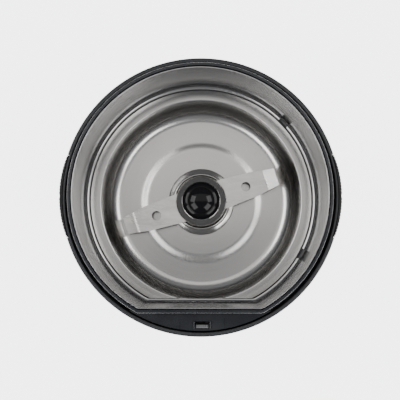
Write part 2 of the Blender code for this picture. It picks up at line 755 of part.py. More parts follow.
def make_boss_nut():
    """Hexagonal nut under the carrier."""
    hexagon = [at_angle(nut_radius, 60.0 * k)[:2] for k in range(6)]
    high = carrier_under - gap
    nut = extrude("boss_nut", hexagon, high - nut_height, high, "steel_plated")
    cut(nut, lathe("nut_bore", ring(0, boss_neck_radius + gap, 0, top), steps=part_steps))
    return nut


def make_shaft_seal():
    """Lip seal in the boss, around the shaft."""
    high = boss_pocket_floor - gap
    low = high - shaft_seal_height + 2 * gap
    outer = shaft_bore + shaft_seal_width - gap
    return lathe("shaft_seal", ring(shaft_bore, outer, low, high), "black_rubber", part_steps)


# ---- Blade ------------------------------------------------------------------------------------

def make_blade_spacer():
    """Ring on the shaft that carries the blade, inside the boss's pocket."""
    low = boss_pocket_floor + running_gap
    profile = ring(shaft_bore, spacer_radius, low, blade_under - gap)
    return lathe("blade_spacer", profile, "steel_plated", part_steps)


def make_blade():
    """Two tapered arms with a hole in each; the right tip turns up and the left one down."""
    fold = blade_reach - blade_tip_length
    side = [(blade_root_end, blade_root_width / 2), (blade_taper_end, blade_mid_width / 2),
            (fold, blade_fold_width / 2), (blade_reach, blade_tip_width / 2)]
    outline = [(x, y) for x, y in reversed(side)] + [(-x, y) for x, y in side]
    outline += [(-x, -y) for x, y in reversed(side)] + [(x, -y) for x, y in side]
    bm = bmesh.new()
    face = bm.faces.new([bm.verts.new((x, y, blade_under)) for x, y in outline])
    raised = bmesh.ops.extrude_face_region(bm, geom=[face])
    moved = [v for v in raised["geom"] if isinstance(v, bmesh.types.BMVert)]
    bmesh.ops.translate(bm, vec=(0, 0, blade_thickness), verts=moved)
    for x in (fold, -fold):
        geometry = bm.verts[:] + bm.edges[:] + bm.faces[:]
        bmesh.ops.bisect_plane(bm, geom=geometry, dist=1e-7, plane_co=(x, 0, 0), plane_no=(1, 0, 0))
    turn = math.radians(blade_tip_turn)
    for vert in bm.verts:
        beyond = abs(vert.co.x) - fold
        if beyond > 1e-6:
            sign = math.copysign(1, vert.co.x)
            across = vert.co.z - blade_under - blade_thickness / 2
            lift = beyond * math.sin(turn) * sign + across * math.cos(turn)
            vert.co.x = sign * (fold + beyond * math.cos(turn)) - across * math.sin(turn)
            vert.co.z = blade_under + blade_thickness / 2 + lift
    blade = finish_mesh("blade", bm, "steel_satin", turn=math.radians(blade_angle))
    cut(blade, lathe("blade_bore", ring(0, shaft_bore, 0, top), steps=small_steps))
    for number, degrees in enumerate((blade_angle, blade_angle + 180), 1):
        cut(blade, lathe("blade_hole_%d" % number, ring(0, blade_hole_radius, 0, top), steps=20,
                         location=at_angle(blade_hole_distance, degrees)))
    return blade


def make_hub_ring():
    """Polished cone that holds the blade down."""
    low = blade_top + gap
    high = low + hub_height
    return lathe("hub_ring", [(shaft_bore, low), (hub_radius, low), (hub_radius, low + 0.3 * mm),
                              (hub_radius - 0.5 * mm, low + hub_rim), (cap_radius + 0.2 * mm, high),
                              (shaft_bore, high)], "steel_polished", part_steps)


def make_blade_cap():
    """Domed cap over the shaft's end, hollow from below."""
    low = blade_top + hub_height + 2 * gap
    high = low + cap_height
    step = cap_step_radius
    return lathe("blade_cap", [
        (0, shaft_top + gap), (shaft_bore, shaft_top + gap), (shaft_bore, low), (cap_radius, low),
        (cap_radius, low + 0.9 * mm), (cap_radius - 0.6 * mm, low + 1.7 * mm),
        (step, low + 2.3 * mm), (step - 0.4 * mm, low + 2.9 * mm), (step - 2.0 * mm, high - 0.2 * mm),
        (0, high),
    ], "black_gloss", part_steps)


# ---- Motor ------------------------------------------------------------------------------------

def make_rotor():
    """Shaft, laminated core, end windings, commutator and fan, all on the axis."""
    lathe("motor_shaft", ring(0, shaft_radius, shaft_end, shaft_top), "steel_plated", part_steps)

    outline = []
    pitch = 2 * math.pi / armature_teeth
    neck = armature_radius - armature_slot
    for tooth in range(armature_teeth):
        middle = tooth * pitch
        outline += arc((0, 0), armature_radius, middle - 0.40 * pitch, middle + 0.40 * pitch, 2)
        outline += arc((0, 0), neck, middle + 0.42 * pitch, middle + 0.58 * pitch, 1)
    core = extrude("armature_core", outline, stack_under, stack_top, "lamination")
    cut(core, lathe("core_bore", ring(0, shaft_bore, 0, top), steps=small_steps))

    bulge = armature_radius - 2.0 * mm
    inner = shaft_bore + 1.5 * mm
    for name, low in (("winding_top", stack_top + gap),
                      ("winding_bottom", stack_under - gap - winding_height)):
        high = low + winding_height
        lathe(name, [(shaft_bore, low), (bulge - 1 * mm, low), (bulge, low + 1 * mm),
                     (bulge, high - 1 * mm), (bulge - 2 * mm, high), (inner, high),
                     (shaft_bore, high - 0.5 * mm)], "copper", part_steps)

    riser = commutator_radius + 1 * mm
    riser_under = commutator_top - 1.5 * mm
    lathe("commutator", [
        (shaft_bore, commutator_under), (commutator_radius, commutator_under),
        (commutator_radius, riser_under), (riser, riser_under), (riser, commutator_top),
        (shaft_bore, commutator_top),
    ], "copper", part_steps)

    plate_under = fan_top - fan_plate - 0.3 * mm
    fan = lathe("cooling_fan", [
        (shaft_bore, fan_under), (fan_hub, fan_under), (fan_hub, plate_under),
        (fan_radius, plate_under), (fan_radius, plate_under + fan_plate), (fan_hub, fan_top),
        (shaft_bore, fan_top),
    ], "white_nylon", part_steps)
    for number in range(fan_blades):
        degrees = 360.0 * number / fan_blades + 11.0
        vane = box("fan_vane_%d" % number, (fan_hub - overlap, -fan_vane / 2, fan_under + 0.2 * mm),
                   (fan_radius - 0.4 * mm, fan_vane / 2, plate_under + 0.3 * mm),
                   turn=math.radians(degrees))
        join(fan, vane)


def make_stator():
    """Laminated frame with two poles on the X axis, and a coil around each."""
    outline = []
    for quarter, (sx, sy) in enumerate(((1, 1), (-1, 1), (-1, -1), (1, -1))):
        centre = (sx * (stator_half_x - stator_corner), sy * (stator_half_y - stator_corner))
        start = quarter * math.pi / 2
        outline += arc(centre, stator_corner, start, start + math.pi / 2, 3)
    core = extrude("stator_core", outline, stack_under, stack_top, "lamination")
    low = stack_under - past
    high = stack_top + past
    cut(core, lathe("stator_bore", ring(0, armature_radius + air_gap, low, high), steps=part_steps))
    cut(core, box("pole_gap", (-pole_gap_half_x, -pole_gap_half_y, low),
                  (pole_gap_half_x, pole_gap_half_y, high)))
    coil_outer_x = coil_inner_x + coil_thickness
    window = pole_half_width + gap + coil_width + gap
    for sx in (-1, 1):
        for sy in (-1, 1):
            xs = sorted((sx * (coil_inner_x - gap), sx * (coil_outer_x + gap)))
            ys = sorted((sy * pole_half_width, sy * window))
            cut(core, box("coil_window_%d_%d" % (sx + 1, sy + 1), (xs[0], ys[0], low),
                          (xs[1], ys[1], high)))
        hole = lathe("bolt_hole_%d" % (sx + 1), ring(0, bolt_radius + gap, low, high), steps=small_steps,
                     location=(sx * bolt_distance, 0, 0))
        cut(core, hole)
    for side, sx in (("left", -1), ("right", 1)):
        xs = sorted((sx * coil_inner_x, sx * coil_outer_x))
        reach = pole_half_width + gap + coil_width
        field_coil = box("field_coil_" + side, (xs[0], -reach, stack_under - gap - coil_over),
                         (xs[1], reach, stack_top + gap + coil_over), "copper")
        side_of_hole = pole_half_width + gap
        opening = box("coil_opening_" + side, (xs[0] - past, -side_of_hole, stack_under - gap),
                      (xs[1] + past, side_of_hole, stack_top + gap))
        cut(field_coil, opening)


def make_brackets():
    """Two stamped plates with posts to the stator; the bearings sit in their middles."""
    for name, low, post_low, post_high in (
            ("upper_bracket", bracket_under, stack_top + gap, bracket_top - 0.2 * mm),
            ("lower_bracket", lower_bracket_under, lower_bracket_under + 0.2 * mm, stack_under - gap)):
        radius = bracket_radius if name == "upper_bracket" else bracket_radius - 1.5 * mm
        profile = ring(bearing_radius + gap, radius, low, low + bracket_thickness)
        plate = lathe(name, profile, "steel_plated")
        for sx in (-1, 1):
            place = (sx * bolt_distance, 0, 0)
            half = bolt_radius + gap + 0.1 * mm
            hole = box("%s_hole_%d" % (name, sx + 1), (-half, -half, low - past),
                       (half, half, low + past), location=place)
            post = lathe("%s_post_%d" % (name, sx + 1),
                         ring(bolt_radius + gap, post_radius, post_low, post_high),
                         steps=small_steps, location=place)
            cut(plate, hole)
            join(plate, post)
        if name == "upper_bracket":
            for number, degrees in enumerate(lug_angles, 1):
                ear = lathe("ear_hole_%d" % number, ring(0, screw_bore, low - past, low + past),
                            steps=small_steps, location=at_angle(damper_circle, degrees))
                cut(plate, ear)
    for name, middle in (("upper_bearing", (bracket_top + bracket_under) / 2),
                         ("lower_bearing", (lower_bracket_top + lower_bracket_under) / 2)):
        h = bearing_half_height
        end_radius = bearing_radius - 1.2 * mm
        lathe(name, [(shaft_bore, middle - h), (end_radius, middle - h),
                     (bearing_radius, middle - h / 2), (bearing_radius, middle + h / 2),
                     (end_radius, middle + h), (shaft_bore, middle + h)], "bronze", part_steps)


def make_brushes():
    """Carbon brush, spring and holder in front of and behind the commutator."""
    middle = (commutator_top + commutator_under) / 2 - brush_drop
    half = brush_size / 2
    face = commutator_radius + running_gap
    holder_inner = half + gap
    holder_outer = holder_inner + brush_holder_wall
    start = face + brush_show
    end = start + brush_holder_length
    for side, sy in (("front", -1), ("rear", 1)):
        ys = sorted((sy * start, sy * end))
        holder = box("brush_holder_" + side, (-holder_outer, ys[0], middle - holder_outer),
                     (holder_outer, ys[1], middle + holder_outer), "black_satin")
        ys = sorted((sy * (start + 3 * mm), sy * (end - 1 * mm)))
        foot = box("holder_foot_" + side, (-holder_foot, ys[0], lower_bracket_top + gap),
                   (holder_foot, ys[1], middle - holder_outer + overlap))
        join(holder, foot)
        ys = sorted((sy * (start - past), sy * (end - holder_cap)))
        cut(holder, box("holder_bore_" + side, (-holder_inner, ys[0], middle - holder_inner),
                        (holder_inner, ys[1], middle + holder_inner)))
        brush_end = face + brush_length
        ys = sorted((sy * face, sy * brush_end))
        box("carbon_brush_" + side, (-half, ys[0], middle - half), (half, ys[1], middle + half), "carbon")
        ys = sorted((sy * (brush_end + gap), sy * (end - holder_cap - gap)))
        coil("brush_spring_" + side, spring_radius, spring_wire, 4, ys[0], ys[1], "steel_plated",
             (0, 0, middle), True)


def make_motor_fasteners():
    """Two through bolts, and three rubber dampers with their screws up into the carrier."""
    for side, sx in (("left", -1), ("right", 1)):
        low = lower_bracket_under - gap
        high = bracket_top + 2.0 * mm
        lathe("motor_bolt_" + side, [
            (0, low - 2 * mm), (3 * mm, low - 2 * mm), (3 * mm, low), (bolt_radius, low),
            (bolt_radius, high), (0, high)], "steel_plated", small_steps, (sx * bolt_distance, 0, 0))
    for number, degrees in enumerate(lug_angles, 1):
        place = at_angle(damper_circle, degrees)
        low = bracket_top + gap
        high = low + damper_height
        lathe("damper_%d" % number, [
            (screw_bore, low), (damper_radius, low), (damper_radius, low + 1.6 * mm),
            (damper_radius - 1 * mm, (low + high) / 2), (damper_radius, high - 1.6 * mm),
            (damper_radius, high), (screw_bore, high),
        ], "black_rubber", small_steps, place)
        head = bracket_under - gap
        screw("damper_screw_%d" % number, 2.6 * mm, head - 1.8 * mm, head, carrier_floor - 0.4 * mm, place)


# ---- Lid interlock ----------------------------------------------------------------------------

def make_interlock():
    """Slider in the deck's slot, its return spring, and the small switch that it presses."""
    back = -(slider_front - slider_thickness)
    half = slider_width / 2
    slider = box("interlock_slider", (interlock_x - half, -slider_front, slider_under),
                 (interlock_x + half, back, slider_top), "grey_plastic")
    middle_y = switch_back - switch_width / 2
    toe = box("slider_toe", (interlock_x + 0.5 * mm, back - overlap, slider_under),
              (interlock_x + toe_length, middle_y + toe_past, seat))
    arm = box("slider_arm", (interlock_x - half, back - overlap, slider_under),
              (interlock_x + 1.5 * mm, back + 0.4 * mm, seat))
    join(slider, toe, arm)

    coil("interlock_spring", return_spring_radius, return_spring_wire, 5, spring_low,
         slider_under - gap, "steel_plated", (interlock_x, slider_y, 0))

    body = box("switch_body", (interlock_x - switch_length / 2, switch_back - switch_width, switch_under),
               (interlock_x + switch_length / 2, switch_back, switch_top), "black_satin")
    plunger_x = interlock_x - plunger_reach
    along = plunger_x - pivot_x
    well = plunger_well
    plunger_top = pivot_z + along * math.tan(lever_rest) - 2 * gap
    plunger_end = switch_top - plunger_sink
    cut(body, box("plunger_well", (plunger_x - well, middle_y - well, plunger_end - 1.6 * mm),
                  (plunger_x + well, middle_y + well, switch_top + past)))
    side = well - gap
    box("switch_plunger", (plunger_x - side, middle_y - side, plunger_end),
        (plunger_x + side, middle_y + side, plunger_top), "white_nylon")

    outline = [(lever_eye, 0), (lever_length, 0), (lever_length, lever_sheet), (0.3 * mm, lever_sheet)]
    outline += arc((0, 0.1 * mm), lever_eye, math.radians(50), math.radians(310), 7)
    lever = extrude("switch_lever", outline, -lever_width / 2, lever_width / 2, "steel_plated")
    lever.data.transform(Matrix.Rotation(-lever_rest, 4, "Y") @ Matrix.Rotation(math.pi / 2, 4, "X"))
    lever.location = (pivot_x, middle_y, pivot_z)


# ---- Base -------------------------------------------------------------------------------------

def make_base():
    """Vented bottom plate with cord-clamp posts, its feet and its screws."""
    plate = lathe("base_plate", ring(0, base_inside - gap, base_under, base_top), "black_satin")
    recess_end = base_under + counterbore_depth
    for number, degrees in enumerate(base_screw_angles, 1):
        place = at_angle(base_boss_circle, degrees)
        hole = lathe("base_hole_%d" % number, [
            (0, base_under - past), (counterbore_radius, base_under - past),
            (counterbore_radius, recess_end), (screw_bore, recess_end), (screw_bore, base_top + past),
            (0, base_top + past)], steps=small_steps, location=place)
        cut(plate, hole)
        screw("base_screw_%d" % number, base_screw_head, base_under - 0.2 * mm, recess_end - gap,
              base_top + gap + screw_length - 1 * mm, place)
    for number in range(vent_count):
        x = (number - (vent_count - 1) / 2) * vent_pitch
        at_end = number in (0, vent_count - 1)
        half = end_vent_half_length if at_end else vent_half_length
        cut(plate, box("vent_%d" % number, (x - vent_width / 2, -half, base_under - past),
                       (x + vent_width / 2, half, base_top + past)))
    for side, sx in (("left", -1), ("right", 1)):
        join(plate, bored_post("clamp_post_" + side, clamp_post_radius, base_top - overlap,
                               clamp_under - gap, base_top + 1 * mm, (sx * clamp_reach, clamp_y, 0)))
    bulb = foot_stem + foot_bulb
    bulb_under = base_top + gap
    bulb_top = base_top + foot_bulb_height
    for number, degrees in enumerate(foot_angles, 1):
        place = at_angle(body_radius - foot_circle_inset, degrees)
        cut(plate, lathe("foot_hole_%d" % number,
                         ring(0, foot_stem + gap, base_under - past, base_top + past),
                         steps=small_steps, location=place))
        lathe("foot_%d" % number, [
            (0, 0), (foot_radius - foot_edge, 0), (foot_radius, foot_edge), (foot_radius, foot_height),
            (foot_stem, foot_height), (foot_stem, bulb_under), (bulb, bulb_under),
            (foot_stem - foot_edge, bulb_top), (0, bulb_top)], "black_rubber", small_steps, place)


def make_cord_entry():
    """Rubber grommet in the rear wall, and the bar inside that would hold the cord."""
    face = base_radius - grommet_recess
    pocket = base_radius - grommet_seat + gap
    neck = grommet_bore + grommet_neck_wall
    inner_face = base_inside - 1.1 * mm
    start = inner_face - grommet_inner_flange
    grommet = lathe("cord_grommet", [
        (grommet_bore, start), (grommet_flange - 0.6 * mm, start),
        (grommet_flange - 0.3 * mm, inner_face), (neck, inner_face), (neck, pocket), (grommet_flange, pocket),
        (grommet_flange, face - 0.3 * mm), (grommet_flange - 0.4 * mm, face), (grommet_bore, face),
    ], "black_rubber", small_steps)
    grommet.data.transform(Matrix.Rotation(-math.pi / 2, 4, "X"))
    grommet.location = (0, 0, grommet_height)

    margin = clamp_margin
    clamp_top = clamp_under + clamp_height
    clamp = box("cord_clamp", (-clamp_reach - margin, clamp_y - margin, clamp_under),
                (clamp_reach + margin, clamp_y + margin, clamp_top), "black_satin")
    for side, sx in (("left", -1), ("right", 1)):
        place = (sx * clamp_reach, clamp_y, 0)
        cut(clamp, lathe("clamp_hole_" + side, ring(0, screw_bore, clamp_under - past, clamp_top + past),
                         steps=small_steps, location=place))
        head = clamp_top + gap
        screw("clamp_screw_" + side, clamp_screw_head, head, head + clamp_screw_height,
              base_top + 1.5 * mm, place)


def make_capacitor():
    """Interference capacitor standing on the base plate."""
    edge = capacitor_edge
    x = capacitor_size[0] / 2
    y = capacitor_size[1] / 2
    low = base_top + gap
    outline = [(x - edge, -y), (x, -y + edge), (x, y - edge), (x - edge, y),
               (-x + edge, y), (-x, y - edge), (-x, -y + edge), (-x + edge, -y)]
    extrude("capacitor", outline, low, low + capacitor_size[2], "blue_box",
            at_angle(base_inside - capacitor_inset, 180.0), math.pi / 2)


def clear_scene():
    for obj in list(bpy.data.objects):
        bpy.data.objects.remove(obj, do_unlink=True)


clear_scene()
make_housing()
make_grips()
make_top_deck()
make_chamber_liner()
make_bowl_seal()
make_grinding_cup()
make_bowl_carrier()
make_shaft_boss()
make_boss_nut()
make_shaft_seal()
make_blade_spacer()
make_blade()
make_hub_ring()
make_blade_cap()
make_rotor()
make_stator()
make_brackets()
make_brushes()
make_motor_fasteners()
make_interlock()
make_base()
make_cord_entry()
make_capacitor()
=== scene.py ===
# %% [markdown]
# # A blade grinder with its lid off
#
# The object is the base of an electric coffee and spice grinder, looked at from above: a round
# black body, a D-shaped collar, a steel chamber that steps down to a steel cup, and a flat blade.
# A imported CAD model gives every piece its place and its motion. Here each visible piece gets a
# fine surface and a finish. The frame comes in first, because everything else measures from it.

import json
import math

import bmesh
import bpy
import numpy as np
from mathutils import Matrix, Vector


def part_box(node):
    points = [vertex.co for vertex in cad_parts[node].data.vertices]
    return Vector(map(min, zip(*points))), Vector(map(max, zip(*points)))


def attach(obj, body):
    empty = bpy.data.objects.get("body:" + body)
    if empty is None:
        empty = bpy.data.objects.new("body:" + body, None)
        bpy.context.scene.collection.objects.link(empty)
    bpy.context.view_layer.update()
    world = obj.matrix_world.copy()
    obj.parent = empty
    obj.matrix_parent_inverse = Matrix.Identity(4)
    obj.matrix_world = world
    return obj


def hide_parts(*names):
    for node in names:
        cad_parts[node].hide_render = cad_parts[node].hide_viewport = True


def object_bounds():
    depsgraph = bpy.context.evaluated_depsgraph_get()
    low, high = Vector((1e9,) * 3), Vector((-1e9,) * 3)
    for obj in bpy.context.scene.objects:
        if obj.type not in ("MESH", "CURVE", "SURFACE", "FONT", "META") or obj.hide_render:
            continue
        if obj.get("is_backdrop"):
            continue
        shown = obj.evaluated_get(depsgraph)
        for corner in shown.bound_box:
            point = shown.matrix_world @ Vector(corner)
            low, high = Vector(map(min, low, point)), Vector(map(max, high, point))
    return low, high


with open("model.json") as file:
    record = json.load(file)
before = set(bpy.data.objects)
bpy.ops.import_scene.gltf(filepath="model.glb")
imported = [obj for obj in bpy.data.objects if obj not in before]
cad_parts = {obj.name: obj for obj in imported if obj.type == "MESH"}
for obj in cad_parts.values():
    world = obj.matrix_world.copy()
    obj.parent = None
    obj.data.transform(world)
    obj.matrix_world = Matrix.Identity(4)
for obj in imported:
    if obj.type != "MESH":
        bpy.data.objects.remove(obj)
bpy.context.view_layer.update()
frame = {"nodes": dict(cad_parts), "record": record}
nodes = frame["nodes"]
mm = 0.001

# %% [markdown]
# ## Measures
#
# A model is easiest to keep true when its sizes are read and not retyped. The corners of the CAD
# pieces give the large radii and every level. Only what a box can't tell, such as a wall's
# thickness or the radius of a fold, is written down as a named value of its own.

# %% Read the levels and radii from the frame
def lowest(node):
    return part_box(node)[0]


def highest(node):
    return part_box(node)[1]


top = highest("top_deck").z
deck_under = lowest("top_deck").z
flange_radius = highest("top_deck").x
shoulder = highest("housing").z
housing_foot = lowest("housing").z
foot_radius_of_body = highest("housing").x
liner_rim = highest("chamber_liner").z
liner_outside = highest("chamber_liner").y
liner_flat_outside = -lowest("chamber_liner").y
ledge = highest("grinding_cup").z
cup_flange = highest("grinding_cup").x
boss_top = highest("shaft_boss").z
boss_under = lowest("shaft_boss").z
boss_radius = highest("shaft_boss").x

sheet = 0.5 * mm
body_radius = foot_radius_of_body - 1.0 * mm
ring_inside = body_radius - 1.7 * mm
collar_radius = ring_inside - 2.35 * mm
collar_wall = 1.15 * mm
collar_flat = liner_flat_outside + 0.3 * mm + collar_wall
chamber_radius = liner_outside - sheet
chamber_flat = liner_flat_outside - sheet
corner_radius = 2.5 * mm
cup_floor = lowest("grinding_cup").z + sheet
groove_floor = top - 16.0 * mm
crescent_top = top - 9.0 * mm
print("height %.1f mm, collar radius %.2f mm, ledge at %.1f mm, cup floor at %.1f mm" % (
    top / mm, collar_radius / mm, ledge / mm, cup_floor / mm))

# %% [markdown]
# ## Surfaces as grids
#
# Almost every piece here was turned, pressed or moulded, so its surface is a function of two
# numbers: how far along a profile, and how far round. A grid of points says the same thing, and
# numpy works the whole grid out at once. Modelling by hand in edit mode would give the same
# shape, but not one that follows a changed measure.

# %% A mesh from a grid of points
def skin(name, grid, wrap_rows=True, caps=False):
    """Mesh through a grid of points, rows by columns by 3. Columns always run round in a loop.

    Rows close on themselves with wrap_rows; caps puts a flat face on the first and last row.
    Points that meet, as at a pole, are merged, and the faces are then turned outwards."""
    rows, columns = grid.shape[:2]
    index = np.arange(rows * columns).reshape(rows, columns)
    lower = index if wrap_rows else index[:-1]
    upper = np.roll(index, -1, axis=0) if wrap_rows else index[1:]
    quads = np.stack([lower, np.roll(lower, -1, 1), np.roll(upper, -1, 1), upper], axis=-1)
    faces = quads.reshape(-1, 4).tolist()
    if caps:
        faces += [index[0].tolist(), index[-1].tolist()]
    mesh = bpy.data.meshes.new(name)
    mesh.from_pydata(grid.reshape(-1, 3).tolist(), [], faces)
    return stand(name, mesh)


def stand(name, mesh):
    """Merge the mesh's doubles, turn its faces outwards, and put it in the scene."""
    shape = bmesh.new()
    shape.from_mesh(mesh)
    bmesh.ops.remove_doubles(shape, verts=shape.verts, dist=1e-7)
    bmesh.ops.dissolve_degenerate(shape, edges=shape.edges, dist=1e-8)
    bmesh.ops.recalc_face_normals(shape, faces=shape.faces)
    shape.to_mesh(mesh)
    shape.free()
    piece = bpy.data.objects.new(name, mesh)
    bpy.context.scene.collection.objects.link(piece)
    return piece


def rounded(points, radii, arc=6):
    """Closed outline with its corners softened, in any number of dimensions.

    Each corner P becomes the quadratic curve (1-t)^2 A + 2t(1-t) P + t^2 B, where A and B lie
    the corner's radius before and after P, or nearly half a side where the side is short."""
    points = np.asarray(points, float)
    reach = np.broadcast_to(np.asarray(radii, float), len(points))[:, None]
    ends = []
    for shift in (1, -1):
        side = np.roll(points, shift, axis=0) - points
        length = np.linalg.norm(side, axis=1, keepdims=True)
        ends.append(points + side / length * np.minimum(reach, 0.48 * length))
    t = np.linspace(0, 1, arc + 1)[None, :, None]
    start, finish = ends[0][:, None], ends[1][:, None]
    curve = (1 - t) ** 2 * start + 2 * t * (1 - t) * points[:, None] + t ** 2 * finish
    return curve.reshape(-1, points.shape[1])


def turned(profile, steps=240):
    """Grid of a turned shape: point (r, z) goes to (r cos a, r sin a, z) for every angle a."""
    profile = np.asarray(profile, float)
    angle = np.arange(steps) * 2 * np.pi / steps
    radius, level = profile[:, 0, None], profile[:, 1, None]
    across = radius * np.cos(angle), radius * np.sin(angle)
    return np.stack([*across, np.broadcast_to(level, across[0].shape)], axis=-1)


def arc_of(centre, radius, start, end, count=12):
    """Points centre + radius (cos a, sin a), for angles from start to end in degrees."""
    angle = np.radians(np.linspace(start, end, count + 1))
    return np.stack([centre[0] + radius * np.cos(angle), centre[1] + radius * np.sin(angle)], -1)


print("grid tools ready")

# %% [markdown]
# ## The D shape
#
# The chamber and its collar are circles cut off by a flat front wall, with a small round where
# wall and circle meet. Each level of such a wall has its own radius and its own flat, so the
# outline is worked out for a whole column of radii and flats together. Every outline has the
# same number of points, in the same order, and the levels can then be skinned like a lathe grid.

# %% Outlines cut off by a flat
def d_shape(radius, flat, corner=corner_radius, around=220, along=24):
    """Outlines of circles cut off at y = -flat: shape levels by points by 2.

    The corner's centre lies where a circle of radius R-c meets the line y = -(flat-c). The
    round runs from straight down to the direction of that centre, and the circle takes over."""
    radius = np.atleast_1d(np.asarray(radius, float))[:, None]
    flat = np.atleast_1d(np.asarray(flat, float))[:, None]
    across = np.sqrt((radius - corner) ** 2 - (flat - corner) ** 2)
    tangent = np.arctan2(corner - flat, across)
    u = np.linspace(0, 1, 9)[None, :]
    turn = -np.pi / 2 + (tangent + np.pi / 2) * u
    right = np.stack([across + corner * np.cos(turn), corner - flat + corner * np.sin(turn)], -1)
    left = right[:, ::-1] * [-1, 1]
    sweep = tangent + (np.pi - 2 * tangent) * np.linspace(0, 1, around)[None, 1:-1]
    main = radius[..., None] * np.stack([np.cos(sweep), np.sin(sweep)], -1)
    straight = across * np.linspace(-1, 1, along)[None, 1:-1]
    chord = np.stack([straight, np.broadcast_to(-flat, straight.shape)], -1)
    return np.concatenate([right, main, left, chord], axis=1)


def d_wall(profile):
    """Grid of a D-shaped wall. Each row of the profile is (radius, flat, z)."""
    profile = np.asarray(profile, float)
    outline = d_shape(profile[:, 0], profile[:, 1])
    level = np.broadcast_to(profile[:, 2, None, None], (*outline.shape[:2], 1))
    return np.concatenate([outline, level], axis=-1)


print("points round the collar:", d_shape(collar_radius, collar_flat).shape[1])

# %% [markdown]
# ## Cutting and softening
#
# Slots, holes and pockets are easier to cut than to weave into a grid. A Boolean does it once the
# main surface stands, and its result is kept as the mesh, so the cutters can go. A Bevel then
# breaks the new edges: real edges are never perfectly sharp, and the thin line of light along
# them is what makes a moulded or pressed part look real.

# %% Cutters, Booleans and broken edges
def prism(name, outline, low, high):
    """Upright solid over a flat outline of (x, y) points: the outline at two levels, capped."""
    outline = np.asarray(outline, float)
    levels = [np.column_stack([outline, np.full(len(outline), z)]) for z in (low, high)]
    return skin(name, np.array(levels), wrap_rows=False, caps=True)


def block(name, low, high, degrees=0.0):
    """Upright box between two corners, turned about the Z axis."""
    corners = np.array([(low[0], low[1]), (high[0], low[1]), (high[0], high[1]), (low[0], high[1])])
    c, s = math.cos(math.radians(degrees)), math.sin(math.radians(degrees))
    return prism(name, corners @ np.array([(c, s), (-s, c)]), low[2], high[2])


def peg(name, radius, low, high, centre=(0.0, 0.0), steps=48):
    """Upright round bar."""
    return prism(name, arc_of(centre, radius, 0, 360 - 360 / steps, steps - 1), low, high)


def lay_back(piece, height):
    """Turn a piece made on the Z axis so that its axis runs along Y at that height."""
    piece.data.transform(Matrix.Translation((0, 0, height)) @ Matrix.Rotation(-math.pi / 2, 4, "X"))
    return piece


def combine(piece, tools, operation="DIFFERENCE"):
    """Cut the piece with the tools, or join them to it, and keep the result as its mesh."""
    for tool in tools:
        step = piece.modifiers.new(tool.name, "BOOLEAN")
        step.operation = operation
        step.solver = "EXACT"
        step.object = tool
    bpy.context.view_layer.update()
    result = piece.evaluated_get(bpy.context.evaluated_depsgraph_get())
    mesh = bpy.data.meshes.new_from_object(result)
    piece.modifiers.clear()
    piece.data = mesh
    for tool in tools:
        bpy.data.objects.remove(tool)
    return piece


def soften(piece, width, angle=35.0, segments=2):
    """Break the edges sharper than the angle."""
    bevel = piece.modifiers.new("broken_edges", "BEVEL")
    bevel.width = width
    bevel.segments = segments
    bevel.limit_method = "ANGLE"
    bevel.angle_limit = math.radians(angle)
    bevel.harden_normals = True
    bevel.use_clamp_overlap = True
    return piece


def install(piece, finish, slot, body, *stands_for, angle=40.0):
    """Shade the piece, give it its finish, and hang it on its body in place of its CAD nodes."""
    piece.data.shade_smooth()
    piece.data.set_sharp_from_angle(angle=math.radians(angle))
    piece.data.materials.clear()
    piece.data.materials.append(finish)
    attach(piece, body)
    if stands_for:
        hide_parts(*stands_for)
    print("%-20s %6d faces, on %s" % (piece.name, len(piece.data.polygons), body))
    return piece


# %% [markdown]
# ## Finishes
#
# A finish is a colour, a gloss and a relief. Even a plain black moulding has all three: a faint
# grain from its tool, a gloss that changes where hands touch it, and a few soft smears. One small
# class keeps the node wiring out of the way. Its patterns read Object coordinates, in metres, so a
# scale of 2000 means lumps of half a millimetre.

